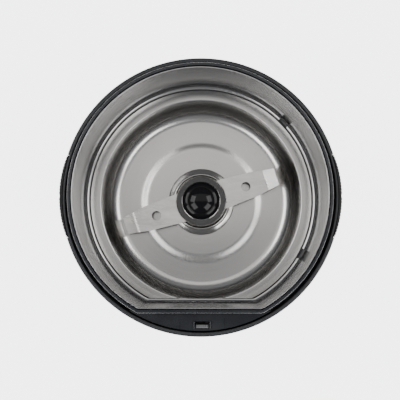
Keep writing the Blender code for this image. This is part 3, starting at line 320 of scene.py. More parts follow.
# %% A finish and its patterns
class Finish:
    """A Principled material with patterns laid over its gloss, colour and relief."""

    def __init__(self, name, colour, roughness, metallic=0.0):
        self.material = bpy.data.materials.new(name)
        self.material.use_nodes = True
        self.tree = self.material.node_tree
        self.shader = self.tree.nodes["Principled BSDF"]
        self.put("Base Color", (*colour, 1.0))
        self.put("Roughness", roughness)
        self.put("Metallic", metallic)
        self.place = self.node("TexCoord").outputs["Object"]
        self.height = None

    def put(self, socket, value):
        self.shader.inputs[socket].default_value = value

    def node(self, kind, **values):
        made = self.tree.nodes.new("ShaderNode" + kind)
        for socket, value in values.items():
            made.inputs[socket].default_value = value
        return made

    def join(self, source, target):
        self.tree.links.new(source, target)

    def cloud(self, scale, detail=3.0, stretch=(1, 1, 1), turn=0.0):
        """Soft noise with that many lumps to the metre, stretched and turned about Z."""
        mapping = self.node("Mapping", Scale=stretch, Rotation=(0, 0, math.radians(turn)))
        noise = self.node("TexNoise", Scale=scale, Detail=detail)
        self.join(self.place, mapping.inputs["Vector"])
        self.join(mapping.outputs["Vector"], noise.inputs["Vector"])
        return noise.outputs["Fac"]

    def turning_marks(self, scale, detail=2.0):
        """Noise of the distance from the Z axis, which draws fine rings."""
        flat = self.node("VectorMath")
        flat.operation = "MULTIPLY"
        flat.inputs[1].default_value = (1, 1, 0)
        length = self.node("VectorMath")
        length.operation = "LENGTH"
        noise = self.node("TexNoise", Scale=scale, Detail=detail)
        noise.noise_dimensions = "1D"
        self.join(self.place, flat.inputs[0])
        self.join(flat.outputs["Vector"], length.inputs[0])
        self.join(length.outputs["Value"], noise.inputs["W"])
        return noise.outputs["Fac"]

    def between(self, pattern, low, high, start=0.3, end=0.7):
        """The pattern stretched so that start gives low and end gives high."""
        ramp = self.node("MapRange")
        for socket, value in (("From Min", start), ("From Max", end), ("To Min", low), ("To Max", high)):
            ramp.inputs[socket].default_value = value
        self.join(pattern, ramp.inputs["Value"])
        return ramp.outputs["Result"]

    def gloss(self, pattern, low, high, start=0.3, end=0.7):
        self.join(self.between(pattern, low, high, start, end), self.shader.inputs["Roughness"])
        return self

    def tint(self, pattern, dark, light, start=0.3, end=0.7):
        mix = self.tree.nodes.new("ShaderNodeMix")
        mix.data_type = "RGBA"
        colours = {socket.name: socket for socket in mix.inputs if socket.type == "RGBA"}
        colours["A"].default_value = (*dark, 1.0)
        colours["B"].default_value = (*light, 1.0)
        self.join(self.between(pattern, 0.0, 1.0, start, end), mix.inputs["Factor"])
        result = [socket for socket in mix.outputs if socket.type == "RGBA"][0]
        self.join(result, self.shader.inputs["Base Color"])
        return self

    def relief(self, pattern, depth, strength=1.0):
        """Raise and sink the surface by the pattern; a second relief lies on the first."""
        bump = self.node("Bump", Strength=strength, Distance=depth)
        self.join(pattern, bump.inputs["Height"])
        if self.height is not None:
            self.join(self.height, bump.inputs["Normal"])
        self.height = bump.outputs["Normal"]
        self.join(self.height, self.shader.inputs["Normal"])
        return self


# %% [markdown]
# ### Black plastics and rubber
#
# The body is a satin moulding with a fine spark-eroded grain. The deck and the collar are of the
# same plastic, polished, so they mirror the room softly and show faint smears. The blade's cap is
# glossier still. Rubber is dull, a little grey, and its bloom is patchy.

# %% The dark finishes
satin = Finish("body_satin_black", (0.016, 0.018, 0.021), 0.38)
satin.gloss(satin.cloud(28, 4.0), 0.34, 0.44).relief(satin.cloud(2600, 2.0), 0.020 * mm, 0.5)
satin.tint(satin.cloud(60, 3.0), (0.014, 0.015, 0.018), (0.019, 0.021, 0.025))

deck_black = Finish("deck_gloss_black", (0.010, 0.012, 0.016), 0.20)
deck_black.gloss(deck_black.cloud(90, 5.0), 0.20, 0.32)
deck_black.tint(deck_black.cloud(160, 3.0), (0.008, 0.010, 0.014), (0.013, 0.015, 0.020))
deck_black.relief(deck_black.cloud(1500, 2.0), 0.006 * mm, 0.4)

cap_black = Finish("cap_gloss_black", (0.006, 0.006, 0.007), 0.07)
cap_black.gloss(cap_black.cloud(400, 4.0), 0.05, 0.11).relief(cap_black.cloud(350, 2.0), 0.004 * mm, 0.3)
cap_black.put("Specular IOR Level", 0.20)

rubber = Finish("grip_and_foot_rubber", (0.016, 0.016, 0.017), 0.62)
rubber.gloss(rubber.cloud(70, 4.0), 0.54, 0.74).relief(rubber.cloud(1900, 3.0), 0.030 * mm, 0.5)
rubber.tint(rubber.cloud(110, 4.0), (0.012, 0.012, 0.013), (0.022, 0.022, 0.023))
print("dark finishes:", satin.material.name, deck_black.material.name, rubber.material.name)

# %% [markdown]
# ### Steels
#
# Stainless steel hardly has a colour of its own: what shows is the room, smeared by the marks of
# the tool that made the surface. The liner was rolled and polished, so its marks run level around
# the wall. The cup was pressed and then polished on a lathe, so its marks are rings. The blade was
# ground along its length and has dull scuffs from use.

# %% The bright finishes
liner_steel = Finish("liner_polished_steel", (0.44, 0.435, 0.43), 0.18, 1.0)
liner_steel.gloss(liner_steel.cloud(120, 3.0, stretch=(0.3, 0.3, 6)), 0.15, 0.21)
liner_steel.tint(liner_steel.cloud(40, 4.0), (0.42, 0.415, 0.41), (0.455, 0.45, 0.445))
liner_steel.relief(liner_steel.cloud(60, 1.0), 0.030 * mm, 0.04)

cup_steel = Finish("cup_pressed_steel", (0.54, 0.53, 0.515), 0.22, 1.0)
cup_steel.gloss(cup_steel.turning_marks(900), 0.205, 0.225)
cup_steel.tint(cup_steel.cloud(38, 5.0), (0.51, 0.50, 0.485), (0.55, 0.54, 0.525))
cup_steel.relief(cup_steel.cloud(60, 1.0), 0.030 * mm, 0.03)

blade_angle = 18.0
blade_steel = Finish("blade_ground_steel", (0.60, 0.58, 0.56), 0.30, 1.0)
blade_steel.gloss(blade_steel.cloud(160, 4.0, stretch=(0.3, 2, 2), turn=-blade_angle), 0.24, 0.36)
blade_steel.tint(blade_steel.cloud(500, 5.0, stretch=(0.4, 1, 1), turn=-blade_angle),
                 (0.53, 0.515, 0.50), (0.64, 0.625, 0.605))
blade_steel.relief(blade_steel.cloud(420, 3.0, stretch=(0.15, 2, 2), turn=-blade_angle), 0.004 * mm, 0.15)

boss_steel = Finish("boss_turned_steel", (0.64, 0.63, 0.61), 0.12, 1.0)
boss_steel.gloss(boss_steel.cloud(200, 4.0), 0.09, 0.15)
boss_steel.relief(boss_steel.turning_marks(9000), 0.002 * mm, 0.15)

plated = Finish("zinc_plated_steel", (0.55, 0.55, 0.56), 0.34, 1.0)
plated.gloss(plated.cloud(260, 4.0), 0.26, 0.46).relief(plated.cloud(1400, 3.0), 0.006 * mm, 0.4)
plated.tint(plated.cloud(130, 4.0), (0.47, 0.47, 0.49), (0.61, 0.61, 0.60))
print("bright finishes:", liner_steel.material.name, cup_steel.material.name, blade_steel.material.name)

# %% [markdown]
# ## The body
#
# The body is one deep moulding: a straight wall that swells a little towards its foot, and a
# narrow ring at the shoulder that guards the lid's groove. Its profile is turned. The pockets for
# the grips and the hole for the cord's gland are cut afterwards, from shapes that are the grips'
# and the gland's own, made a working gap larger.

# %% Turn the body and cut its pockets
fit = 0.3 * mm
wall_points = [
    (foot_radius_of_body - 0.8 * mm, housing_foot), (foot_radius_of_body, housing_foot + 0.8 * mm),
    (foot_radius_of_body - 0.3 * mm, 0.15 * top), (body_radius - 0.2 * mm, 0.39 * top),
    (body_radius, shoulder - 12 * mm), (body_radius, shoulder), (ring_inside, shoulder),
    (ring_inside, deck_under - fit), (ring_inside - 0.8 * mm, deck_under - fit),
    (ring_inside - 0.9 * mm, 0.39 * top), (foot_radius_of_body - 2.5 * mm, housing_foot),
]
wall_rounds = [0.4 * mm, 0.8 * mm, 12 * mm, 18 * mm, 6 * mm, 0.75 * mm, 0.30 * mm,
               0.2 * mm, 0.2 * mm, 5 * mm, 0.5 * mm]
housing = skin("body_shell", turned(rounded(wall_points, wall_rounds, 8), 288))

grip_half_angle = 17.2
grip_top, grip_foot = highest("grip_right").z, lowest("grip_right").z
grip_face = highest("grip_right").x
grip_back = body_radius - 0.5 * mm


def sector(name, inner, outer, low, high, middle, half_angle):
    """Upright piece of a ring, between two radii and two angles in degrees."""
    far = arc_of((0, 0), outer, middle - half_angle, middle + half_angle, 40)
    near = arc_of((0, 0), inner, middle + half_angle, middle - half_angle, 40)
    return prism(name, np.concatenate([far, near]), low, high)


gland_height = (lowest("cord_grommet").z + highest("cord_grommet").z) / 2
gland_radius = highest("cord_grommet").x
gland_bore = 3.5 * mm
gland_neck = gland_bore + 1.5 * mm
pockets = [sector("pocket", grip_back - fit, body_radius + 5 * mm, grip_foot - fit, shoulder + 5 * mm,
                  middle, grip_half_angle + 0.2) for middle in (0, 180)]
pockets.append(lay_back(peg("flat", gland_radius + fit, foot_radius_of_body - 1.4 * mm,
                            foot_radius_of_body + 5 * mm), gland_height))
pockets.append(lay_back(peg("hole", gland_neck + fit, body_radius - 8 * mm,
                            foot_radius_of_body + 5 * mm), gland_height))
combine(housing, pockets)
soften(housing, 0.18 * mm)
install(housing, satin.material, "black_satin", "body", "housing")

# %% [markdown]
# ### Grip pads
#
# A rubber pad is let into each side, where the hand holds the body. Fine upright ribs give it
# bite, and a seam runs down its middle. The ribs are a ripple of the outer radius, so each level
# of the pad is one outline, and the outline is carried up the pad.

# %% Ribbed pads
def grip_pad(name, middle, ribs=26, rib_depth=0.22 * mm):
    """Pad whose face stands proudest in its middle, as (1 - w^2)^0.8 over its half width w.

    The ribs take depth (1 - |cos|^0.6) off that face, the seam a narrow bell, and both ends of
    the pad's height turn in on a quarter circle."""
    along = np.linspace(-1, 1, 361)
    ripple = 1 - np.abs(np.cos(along * ribs * np.pi / 2)) ** 0.6
    seam = np.exp(-(along / 0.018) ** 2)
    edge = np.clip((1 - np.abs(along)) / 0.012, 0, 1)
    rim = np.sqrt(1 - (1 - edge) ** 2)
    height = np.concatenate([np.linspace(0, 1, 9) ** 1.5 * 0.012, np.linspace(0.02, 0.98, 60),
                             1 - np.linspace(1, 0, 9) ** 1.5 * 0.012])
    end = np.sqrt(1 - (1 - np.clip(np.minimum(height, 1 - height) / 0.012, 0, 1)) ** 2)
    proud = body_radius + 0.05 * mm + (grip_face - body_radius - 0.05 * mm) * (1 - along ** 2) ** 0.8
    relief = proud - grip_back - rib_depth * (ripple + 1.4 * seam)
    outer = grip_back + end[:, None] * rim * relief[None, :] + 0.001 * mm
    angle = np.radians(middle + along * grip_half_angle)
    level = grip_foot + (grip_top - grip_foot) * height
    far = np.stack([outer * np.cos(angle), outer * np.sin(angle),
                    np.broadcast_to(level[:, None], outer.shape)], -1)
    inner = np.full_like(outer, grip_back)[:, ::-1]
    near = np.stack([inner * np.cos(angle[::-1]), inner * np.sin(angle[::-1]),
                     np.broadcast_to(level[:, None], outer.shape)], -1)
    return skin(name, np.concatenate([far, near], axis=1), wrap_rows=False, caps=True)


for side, middle in (("left", 180.0), ("right", 0.0)):
    install(grip_pad("grip_pad_" + side, middle), rubber.material, "black_rubber", "body",
            "grip_" + side, angle=60)

# %% [markdown]
# ## The deck and its collar
#
# The deck closes the body's mouth. Its collar stands up round the chamber and has the chamber's D
# shape; the groove round it takes the lid's skirt. One grid holds flange and collar together: the
# lower rows lie on circles and the upper rows on D outlines, with points in the same order, so the
# flange turns into the collar without a join.

# %% Collar and flange in one grid
def circle_like(outline, radius):
    """The outline's points pushed out to a circle, each in its own direction."""
    return outline / np.linalg.norm(outline, axis=-1, keepdims=True) * radius


collar_inside = collar_radius - collar_wall
collar_flat_inside = collar_flat - collar_wall
collar_rows = rounded([
    (collar_inside, collar_flat_inside, groove_floor), (collar_radius, collar_flat, groove_floor),
    (collar_radius, collar_flat, top), (collar_inside, collar_flat_inside, top)],
    [0, 0, 0.42 * mm, 0.22 * mm], 8)
foot_of_collar = d_shape(collar_radius, collar_flat)[0]
inner_foot = d_shape(collar_inside, collar_flat_inside)[0]
flange_rim = circle_like(foot_of_collar, flange_radius)


def at_level(outline, level):
    return np.column_stack([outline, np.full(len(outline), level)])


upper = d_wall(collar_rows[(collar_rows[:, 2] > groove_floor + 1e-6)])
deck_grid = np.concatenate([
    at_level(inner_foot, deck_under)[None], at_level(flange_rim, deck_under)[None],
    at_level(flange_rim, groove_floor)[None], at_level(foot_of_collar, groove_floor)[None], upper])
deck = skin("deck_and_collar", deck_grid)

# %% [markdown]
# In front of the flat the deck rises to a crescent. Near its middle a slot lets the lid's tab
# through to the safety switch, with a small rib on each side to guide the tab, and the front half
# is stepped down a little. Each is a plain solid, joined to the deck or cut from it.

# %% Crescent, slot, ribs and step
crescent_radius = flange_radius - 0.4 * mm
slot_middle = (lowest("interlock_slider").x + 2.3 * mm)
slot_half = 2.6 * mm
slot_front = -(crescent_radius - 0.7 * mm)
slot_back = slot_front + 2.8 * mm
front = collar_flat - fit
sweep = math.degrees(math.acos(front / crescent_radius))
crescent = prism("crescent", arc_of((0, 0), crescent_radius, -90 - sweep, -90 + sweep, 80),
                 deck_under + 0.6 * mm, crescent_top)
combine(deck, [crescent], "UNION")
step_edge = -(collar_flat + 2.9 * mm)
step = block("step", (slot_middle - 8.5 * mm, -60 * mm, crescent_top - 0.45 * mm),
             (slot_middle + 8.5 * mm, step_edge, crescent_top + 5 * mm))
groove_line = block("line", (-17 * mm, -(collar_flat + 1.15 * mm), crescent_top - 0.18 * mm),
                    (17 * mm, -(collar_flat + 0.9 * mm), crescent_top + 5 * mm))
combine(deck, [step, groove_line])
rib_top = 0.6 * mm
rib_radius = 0.48 * mm
guides = []
for side in (-1, 1):
    rib_middle = (slot_middle + side * (slot_half + 0.42 * mm), -rib_top + rib_radius)
    rib = arc_of(rib_middle, rib_radius, 180, 360, 12)
    sunk = rib[[-1, 0]] + [0, 2 * mm]
    guides.append(lay_back(prism("rib", np.concatenate([rib, sunk]), slot_front + 0.1 * mm, slot_back),
                           crescent_top))
    tip = slot_middle + side * 8.5 * mm
    arrow = [(tip, step_edge - 0.4 * mm), (tip + side * 0.9 * mm, step_edge), (tip, step_edge + 0.4 * mm)]
    guides.append(prism("pip", arrow, crescent_top - 0.6 * mm, crescent_top + 0.15 * mm))
combine(deck, guides, "UNION")
combine(deck, [block("slot", (slot_middle - slot_half, slot_front, 0.5 * top),
                     (slot_middle + slot_half, slot_back, top))])
soften(deck, 0.14 * mm)
install(deck, deck_black.material, "black_gloss", "body", "top_deck")

# %% [markdown]
# ## The chamber
#
# The liner is one drawn sheet: a tall wall whose foot turns inwards on a fillet. A sheet is a loop
# in profile, down its inner face and back up its outer one, and the two faces of the fillet are
# arcs about one centre. Under the flat wall the foot turns in less, so the flat has its own column
# in the profile. Two short slots in the foot drain what falls beside the cup.

# %% The D-shaped liner
foot_turn = 1.6 * mm
flat_turn = 1.3 * mm
foot_edge = chamber_radius - foot_turn
flat_edge = chamber_flat - flat_turn


def foot_rows(thickness, count=10):
    """Rows of the fillet: radius and flat shrink with cos a while the wall sinks with sin a."""
    a = np.linspace(0, np.pi / 2, count)
    return np.column_stack([foot_edge + (foot_turn + thickness) * np.cos(a),
                            flat_edge + (flat_turn + thickness) * np.cos(a),
                            ledge + foot_turn - (foot_turn + thickness) * np.sin(a)])


rim_rows = rounded([
    (liner_outside, liner_flat_outside, liner_rim - 2 * sheet),
    (liner_outside, liner_flat_outside, liner_rim),
    (chamber_radius, chamber_flat, liner_rim),
    (chamber_radius, chamber_flat, liner_rim - 2 * sheet)], [0, 0.2 * mm, 0.2 * mm, 0], 4)
wall_levels = np.linspace(liner_rim - 3 * sheet, ledge + 2 * foot_turn, 6)
inner_wall = [(chamber_radius, chamber_flat, level) for level in wall_levels]
outer_wall = [(liner_outside, liner_flat_outside, level) for level in wall_levels[::-1]]
liner = skin("chamber_wall", d_wall(np.concatenate(
    [inner_wall, foot_rows(0), foot_rows(sheet)[::-1], outer_wall, rim_rows])))
drain_half_width = 1.2 * mm
drain_half_length = 2.2 * mm
drain_angles = (43.0, -28.5)
drains = [block("drain", (foot_edge - drain_half_width, -drain_half_length, ledge - 3 * mm),
                (foot_edge + drain_half_width, drain_half_length, ledge + 3 * mm), degrees)
          for degrees in drain_angles]
combine(liner, drains)
soften(liner, 0.08 * mm, 50)
install(liner, liner_steel.material, "steel_polished", "body", "chamber_liner", angle=50)

# %% [markdown]
# The cup was drawn from a round blank. Its flange is the ledge inside the chamber: level at the
# mouth, falling away a little further out. Its wall leans in a hair, a deep fillet carries it into
# the floor, and the middle of the floor stands slightly proud to stiffen it. The fillet is a true
# quarter circle, as the punch that made it had one.

# %% The drawn cup
cup_inset = 6.6 * mm
cup_radius = chamber_radius - cup_inset
cup_foot = cup_radius - 0.4 * mm
cup_fillet = 6.3 * mm
disc_radius = 24.2 * mm
disc_rise = 0.5 * mm
disc_slope = 4.5 * mm
neck_hole = 12.4 * mm
flange_slope = 1.6 * mm
flange_fall = 0.2 * mm
centre = (cup_foot - cup_fillet, cup_floor + cup_fillet)
u = np.linspace(0, 1, 25)
dish = np.stack([disc_radius + disc_slope * (0.5 - u),
                 cup_floor + disc_rise * (0.5 - 0.5 * np.cos(np.pi * u))], -1)
# The first two points and the last one only lead the rounding in and out, so their rows are cut off.
flange_face = rounded([
    (cup_radius + 4 * sheet, ledge - 6 * sheet), (cup_flange, ledge - flange_fall - 2 * sheet),
    (cup_flange, ledge - flange_fall), (cup_flange - flange_slope, ledge),
    (cup_radius, ledge), (cup_radius, ledge - 2 * mm)],
    [0, 0, 0.12 * mm, 0.7 * mm, 0.75 * mm, 0], 8)[18:-9]
flange_back = [
    (cup_radius + sheet, ledge - 1.4 * mm),
    (cup_radius + sheet + 0.1 * mm, ledge - sheet - 0.2 * mm),
    (cup_radius + sheet + 0.5 * mm, ledge - sheet), (cup_flange - flange_slope, ledge - sheet),
    (cup_flange, ledge - flange_fall - sheet)]
cup_profile = np.concatenate([
    flange_face, arc_of(centre, cup_fillet, 0, -90, 28), dish,
    [(neck_hole, cup_floor + disc_rise), (neck_hole, cup_floor + disc_rise - sheet)],
    dish[::-1] - [0, sheet], arc_of(centre, cup_fillet + sheet, -90, 0, 28), flange_back])
cup = skin("grinding_bowl", turned(cup_profile, 320))
combine(cup, [block("trim", (-2 * cup_flange, -2 * cup_flange, ledge - 1 * mm),
                    (2 * cup_flange, -(flat_edge - fit), ledge + 5 * mm))])
install(cup, cup_steel.material, "steel_satin", "body", "grinding_cup", angle=60)

# %% [markdown]
# ## Boss, blade and cap
#
# A turned boss clamps the cup round the shaft. Inside its raised lip a spacer on the shaft carries
# the blade, a polished cone holds the blade down, and a black cap hides the end of the shaft. They
# are all turned shapes. The cap's crown is drawn as a smooth dome over a low step.

# %% Turned pieces round the shaft
shaft_bore = 2.8 * mm
boss_profile = rounded([
    (boss_radius, cup_floor + disc_rise + 0.25 * mm), (boss_radius, boss_top - 1.5 * mm),
    (boss_radius - 0.3 * mm, boss_top - 0.95 * mm), (11.95 * mm, boss_top - 0.42 * mm),
    (11.65 * mm, boss_top), (11.15 * mm, boss_top), (10.8 * mm, boss_top - 0.5 * mm),
    (10.8 * mm, boss_top - 2.0 * mm), (5.0 * mm, boss_top - 2.0 * mm), (5.0 * mm, boss_top - 6.3 * mm),
    (3.7 * mm, boss_top - 6.3 * mm), (3.7 * mm, boss_under), (12.1 * mm, boss_under),
    (12.1 * mm, cup_floor + disc_rise + 0.25 * mm)], 0.28 * mm, 5)
boss = skin("shaft_boss_ring", turned(boss_profile, 160))
install(boss, boss_steel.material, "steel_polished", "body", "shaft_boss")

hub_low, hub_high = lowest("hub_ring").z, highest("hub_ring").z
hub_radius = highest("hub_ring").x
hub = skin("hub_cone", turned(rounded([
    (shaft_bore, hub_low), (hub_radius, hub_low), (hub_radius, hub_low + 0.55 * mm),
    (hub_radius - 0.5 * mm, hub_low + 1.15 * mm), (7.95 * mm, hub_high), (shaft_bore, hub_high)],
    [0.1 * mm, 0.15 * mm, 0.25 * mm, 0.3 * mm, 0.12 * mm, 0.1 * mm], 5), 160))
install(hub, boss_steel.material, "steel_polished", "rotor", "hub_ring")

spacer_low, spacer_high = lowest("blade_spacer").z, highest("blade_spacer").z
spacer = skin("blade_seat", turned(rounded([
    (shaft_bore, spacer_low), (8 * mm, spacer_low), (8 * mm, spacer_high), (shaft_bore, spacer_high)],
    0.3 * mm), 96))
install(spacer, plated.material, "steel_plated", "rotor", "blade_spacer")

cap_low, cap_high = lowest("blade_cap").z, highest("blade_cap").z
cap_radius = highest("blade_cap").x
u = np.linspace(0, 1, 40)
crown = np.stack([5.3 * mm * (1 - u), cap_high - 1.0 * mm * (1 - u) ** 2.2], -1)
cap_profile = np.concatenate([
    [(0, cap_high - 1.9 * mm), (shaft_bore, cap_high - 1.9 * mm), (shaft_bore, cap_low)],
    rounded([(shaft_bore + 0.3 * mm, cap_low), (cap_radius, cap_low), (cap_radius, cap_low + 1.1 * mm),
             (cap_radius - 0.9 * mm, cap_low + 2.1 * mm), (5.6 * mm, cap_high - 1.15 * mm)],
            [0, 0.2 * mm, 0.6 * mm, 0.8 * mm, 0.2 * mm], 7)[7:-3], crown])
cap = skin("blade_cap_dome", turned(cap_profile, 128), wrap_rows=False)
install(cap, cap_black.material, "black_gloss", "rotor", "blade_cap", angle=80)

# %% [markdown]
# ### The blade
#
# The blade is a strip with two tapering arms, a hole in each, and tips turned opposite ways so
# that one lifts the beans and the other throws them down. Its section is a plain rectangle, carried
# along a centre line, and its edges are softened last. The line's slope goes from level to the
# tip's angle over a short fold, and adding up the slope gives the line itself.

# %% A section carried along a folded line
blade_low, blade_high = lowest("blade").z, highest("blade").z
blade_middle = (blade_low + blade_high) / 2
blade_thick = 1.3 * mm
blade_reach = 33.6 * mm
fold_at = blade_reach - 5.0 * mm
tip_turn = math.radians(20.0)


def blade_grid():
    """Stations s along the strip: x and z are the sums of cos and sin of the slope over s.

    The slope is the tip's angle times a smooth step past the fold. The section is scaled to the
    half width at s, read from the widths at the root, the middle, the fold and the tip."""
    s = np.linspace(0, blade_reach, 181)
    ease = np.clip((s - fold_at + 0.7 * mm) / (1.4 * mm), 0, 1)
    slope = tip_turn * ease * ease * (3 - 2 * ease)
    step = np.diff(s, prepend=0.0)
    x, z = np.cumsum(np.cos(slope) * step), np.cumsum(np.sin(slope) * step)
    stations = np.array([0, 11, 15, 24, fold_at / mm, blade_reach / mm]) * mm
    widths = np.array([6.1, 6.1, 5.75, 5.2, 4.32, 3.6]) * mm
    half = np.interp(s, stations, widths)
    s, slope = np.concatenate([-s[:0:-1], s]), np.concatenate([slope[:0:-1], slope])
    x, z = np.concatenate([-x[:0:-1], x]), np.concatenate([-z[:0:-1], z])
    half = np.concatenate([half[:0:-1], half])
    flat = np.linspace(-1, 1, 17)
    bottom = np.stack([flat, np.full(17, -0.5)], -1)
    section = np.concatenate([bottom, -bottom])
    side = section[:, 0] * half[:, None]
    across = np.broadcast_to(section[:, 1] * blade_thick, side.shape)
    angle = math.radians(blade_angle)
    px = x[:, None] - across * np.sin(slope)[:, None]
    pz = blade_middle + z[:, None] + across * np.cos(slope)[:, None]
    return np.stack([px * math.cos(angle) - side * math.sin(angle),
                     px * math.sin(angle) + side * math.cos(angle), pz], -1)


blade = skin("blade_arms", blade_grid(), wrap_rows=False, caps=True)
hole_at = 19.7 * mm
turn = math.radians(blade_angle)
holes = [peg("hole", 2.0 * mm, blade_low - 5 * mm, blade_high + 5 * mm,
             (side * hole_at * math.cos(turn), side * hole_at * math.sin(turn))) for side in (-1, 1)]
holes.append(peg("bore", shaft_bore, blade_low - 5 * mm, blade_high + 5 * mm))
combine(blade, holes)
soften(blade, 0.17 * mm, 50, 3)
install(blade, blade_steel.material, "steel_satin", "rotor", "blade", angle=50)

# %% [markdown]
# ## The interlock
#
# The lid's tab pushes a small grey slider down through the slot, and the slider trips the switch.
# Its top is finely ribbed, like the edge of a coin. The ribs are grooves cut in a row by a loop.

# %% The ribbed slider
grey = Finish("slider_grey_plastic", (0.20, 0.205, 0.21), 0.42)
grey.gloss(grey.cloud(500, 3.0), 0.34, 0.52).relief(grey.cloud(3000, 2.0), 0.008 * mm, 0.4)
grey.tint(grey.cloud(400, 3.0), (0.17, 0.175, 0.18), (0.23, 0.235, 0.24))
slider_low, slider_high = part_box("interlock_slider")
plate_half = 2.3 * mm
plate_back = slider_low.y + 1.2 * mm
toe_top = deck_under - fit
slider = block("slider_plate", (slot_middle - plate_half, slider_low.y, slider_low.z),
               (slot_middle + plate_half, plate_back, slider_high.z))
toe = block("toe", (slot_middle + 0.5 * mm, plate_back - 0.5 * mm, slider_low.z),
            (slider_high.x, slider_high.y, toe_top))
arm = block("arm", (slot_middle - plate_half + 0.01 * mm, plate_back - 0.6 * mm,
                    slider_low.z + 0.01 * mm),
            (slot_middle + 1.5 * mm, plate_back + 0.4 * mm, toe_top - 0.01 * mm))
combine(slider, [toe, arm], "UNION")
groove_count = 6
groove_half = 0.14 * mm
groove_depth = 0.6 * mm
pitch = 2 * plate_half / groove_count
cuts = []
for k in range(groove_count):
    x = slot_middle + (k - (groove_count - 1) / 2) * pitch
    cuts.append(block("groove", (x - groove_half, slider_low.y + 0.35 * mm, slider_high.z - groove_depth),
                      (x + groove_half, plate_back + 2 * mm, slider_high.z + 2 * mm)))
combine(slider, cuts)
soften(slider, 0.06 * mm, 40, 2)
install(slider, grey.material, "grey_plastic", "slider", "interlock_slider")

# %% [markdown]
# ## Underneath and behind
#
# The base plate lets cooling air in through a row of slots and is held by three screws in deep
# recesses. Four rubber feet plug through it. The cord's gland is a rubber bush in the back wall:
# a turned profile, laid over so that its axis points backwards.

# %% Gland, feet and base plate
gland_in, gland_out = lowest("cord_grommet").y, highest("cord_grommet").y
wall_seat = foot_radius_of_body - 1.4 * mm + fit
gland_profile = rounded([
    (gland_bore, gland_in), (gland_radius - 0.9 * mm, gland_in),
    (gland_radius - 0.3 * mm, gland_in + 1.4 * mm),
    (gland_neck, gland_in + 1.4 * mm), (gland_neck, wall_seat), (gland_radius, wall_seat),
    (gland_radius, gland_out), (gland_bore, gland_out)],
    [0.2 * mm, 0.3 * mm, 0.3 * mm, 0.1 * mm, 0.1 * mm, 0.2 * mm, 0.5 * mm, 0.4 * mm], 6)
gland = lay_back(skin("cord_gland", turned(gland_profile, 72)), gland_height)
install(gland, rubber.material, "black_rubber", "body", "cord_grommet", angle=60)

foot_high = highest("foot_1").z
for number in (1, 2, 3, 4):
    low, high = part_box("foot_%d" % number)
    middle = ((low.x + high.x) / 2, (low.y + high.y) / 2)
    pad, stem, plate_top = (high.x - low.x) / 2, 2.2 * mm, foot_high - 2.2 * mm
    foot = skin("rubber_foot_%d" % number, turned(rounded([
        (0, 0), (pad - 0.9 * mm, 0), (pad, 0.9 * mm), (pad, 2.0 * mm), (stem, 2.0 * mm),
        (stem, plate_top + fit), (stem + 0.8 * mm, plate_top + fit), (stem - 0.6 * mm, foot_high),
        (0, foot_high)],
        [0, 0.5 * mm, 0.5 * mm, 0.3 * mm, 0.1 * mm, 0.1 * mm, 0.2 * mm, 0.3 * mm, 0], 5), 64)
        + np.array([*middle, 0.0]), wrap_rows=False)
    install(foot, rubber.material, "black_rubber", "body", "foot_%d" % number, angle=60)

plate_low, plate_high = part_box("base_plate")
plate_face = plate_low.z + 2.5 * mm
plate = skin("base_cover", turned(rounded([
    (0, plate_low.z), (plate_high.x, plate_low.z), (plate_high.x, plate_face), (0, plate_face)],
    [0, 0.5 * mm, 0.3 * mm, 0], 5), 240), wrap_rows=False)
vent_pitch = 6 * mm
vent_half_width = 1.25 * mm
vent_half_lengths = [half * mm for half in (12, 18, 18, 18, 18, 18, 12)]
openings = []
for k, half in enumerate(vent_half_lengths):
    x = (k - 3) * vent_pitch
    openings.append(block("vent", (x - vent_half_width, -half, plate_low.z - 5 * mm),
                          (x + vent_half_width, half, plate_face + 5 * mm)))
for number in (1, 2, 3):
    low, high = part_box("base_screw_%d" % number)
    middle = ((low.x + high.x) / 2, (low.y + high.y) / 2)
    openings.append(peg("recess", 3.2 * mm, plate_low.z - 5 * mm, plate_low.z + 1.3 * mm, middle))
    openings.append(peg("shank", 1.4 * mm, plate_low.z, plate_face + 5 * mm, middle, 24))
for number in (1, 2, 3, 4):
    low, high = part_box("foot_%d" % number)
    openings.append(peg("stem", 2.5 * mm, plate_low.z - 5 * mm, plate_face + 5 * mm,
                        ((low.x + high.x) / 2, (low.y + high.y) / 2), 32))
combine(plate, openings)
clamp_low, clamp_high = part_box("cord_clamp")
post_bore, post_radius = 1.4 * mm, 2.6 * mm
post_root, post_floor = plate_face - 0.4 * mm, plate_face + 1 * mm
posts = [skin("post", turned([
    (post_bore, post_floor), (post_bore, plate_high.z), (post_radius, plate_high.z),
    (post_radius, post_root), (0, post_root), (0, post_floor)], 32)
    + np.array([x, (clamp_low.y + clamp_high.y) / 2, 0.0]))
         for x in ((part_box("clamp_screw_left")[0].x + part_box("clamp_screw_left")[1].x) / 2,
                   (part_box("clamp_screw_right")[0].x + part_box("clamp_screw_right")[1].x) / 2)]
combine(plate, posts, "UNION")
soften(plate, 0.25 * mm)
install(plate, satin.material, "black_satin", "body", "base_plate")

# %% [markdown]
# A pan-head screw is a turned shape with a cross pressed into its head. The cross is what the eye
# looks for, so it is cut; the thread hides in its post and is left out.

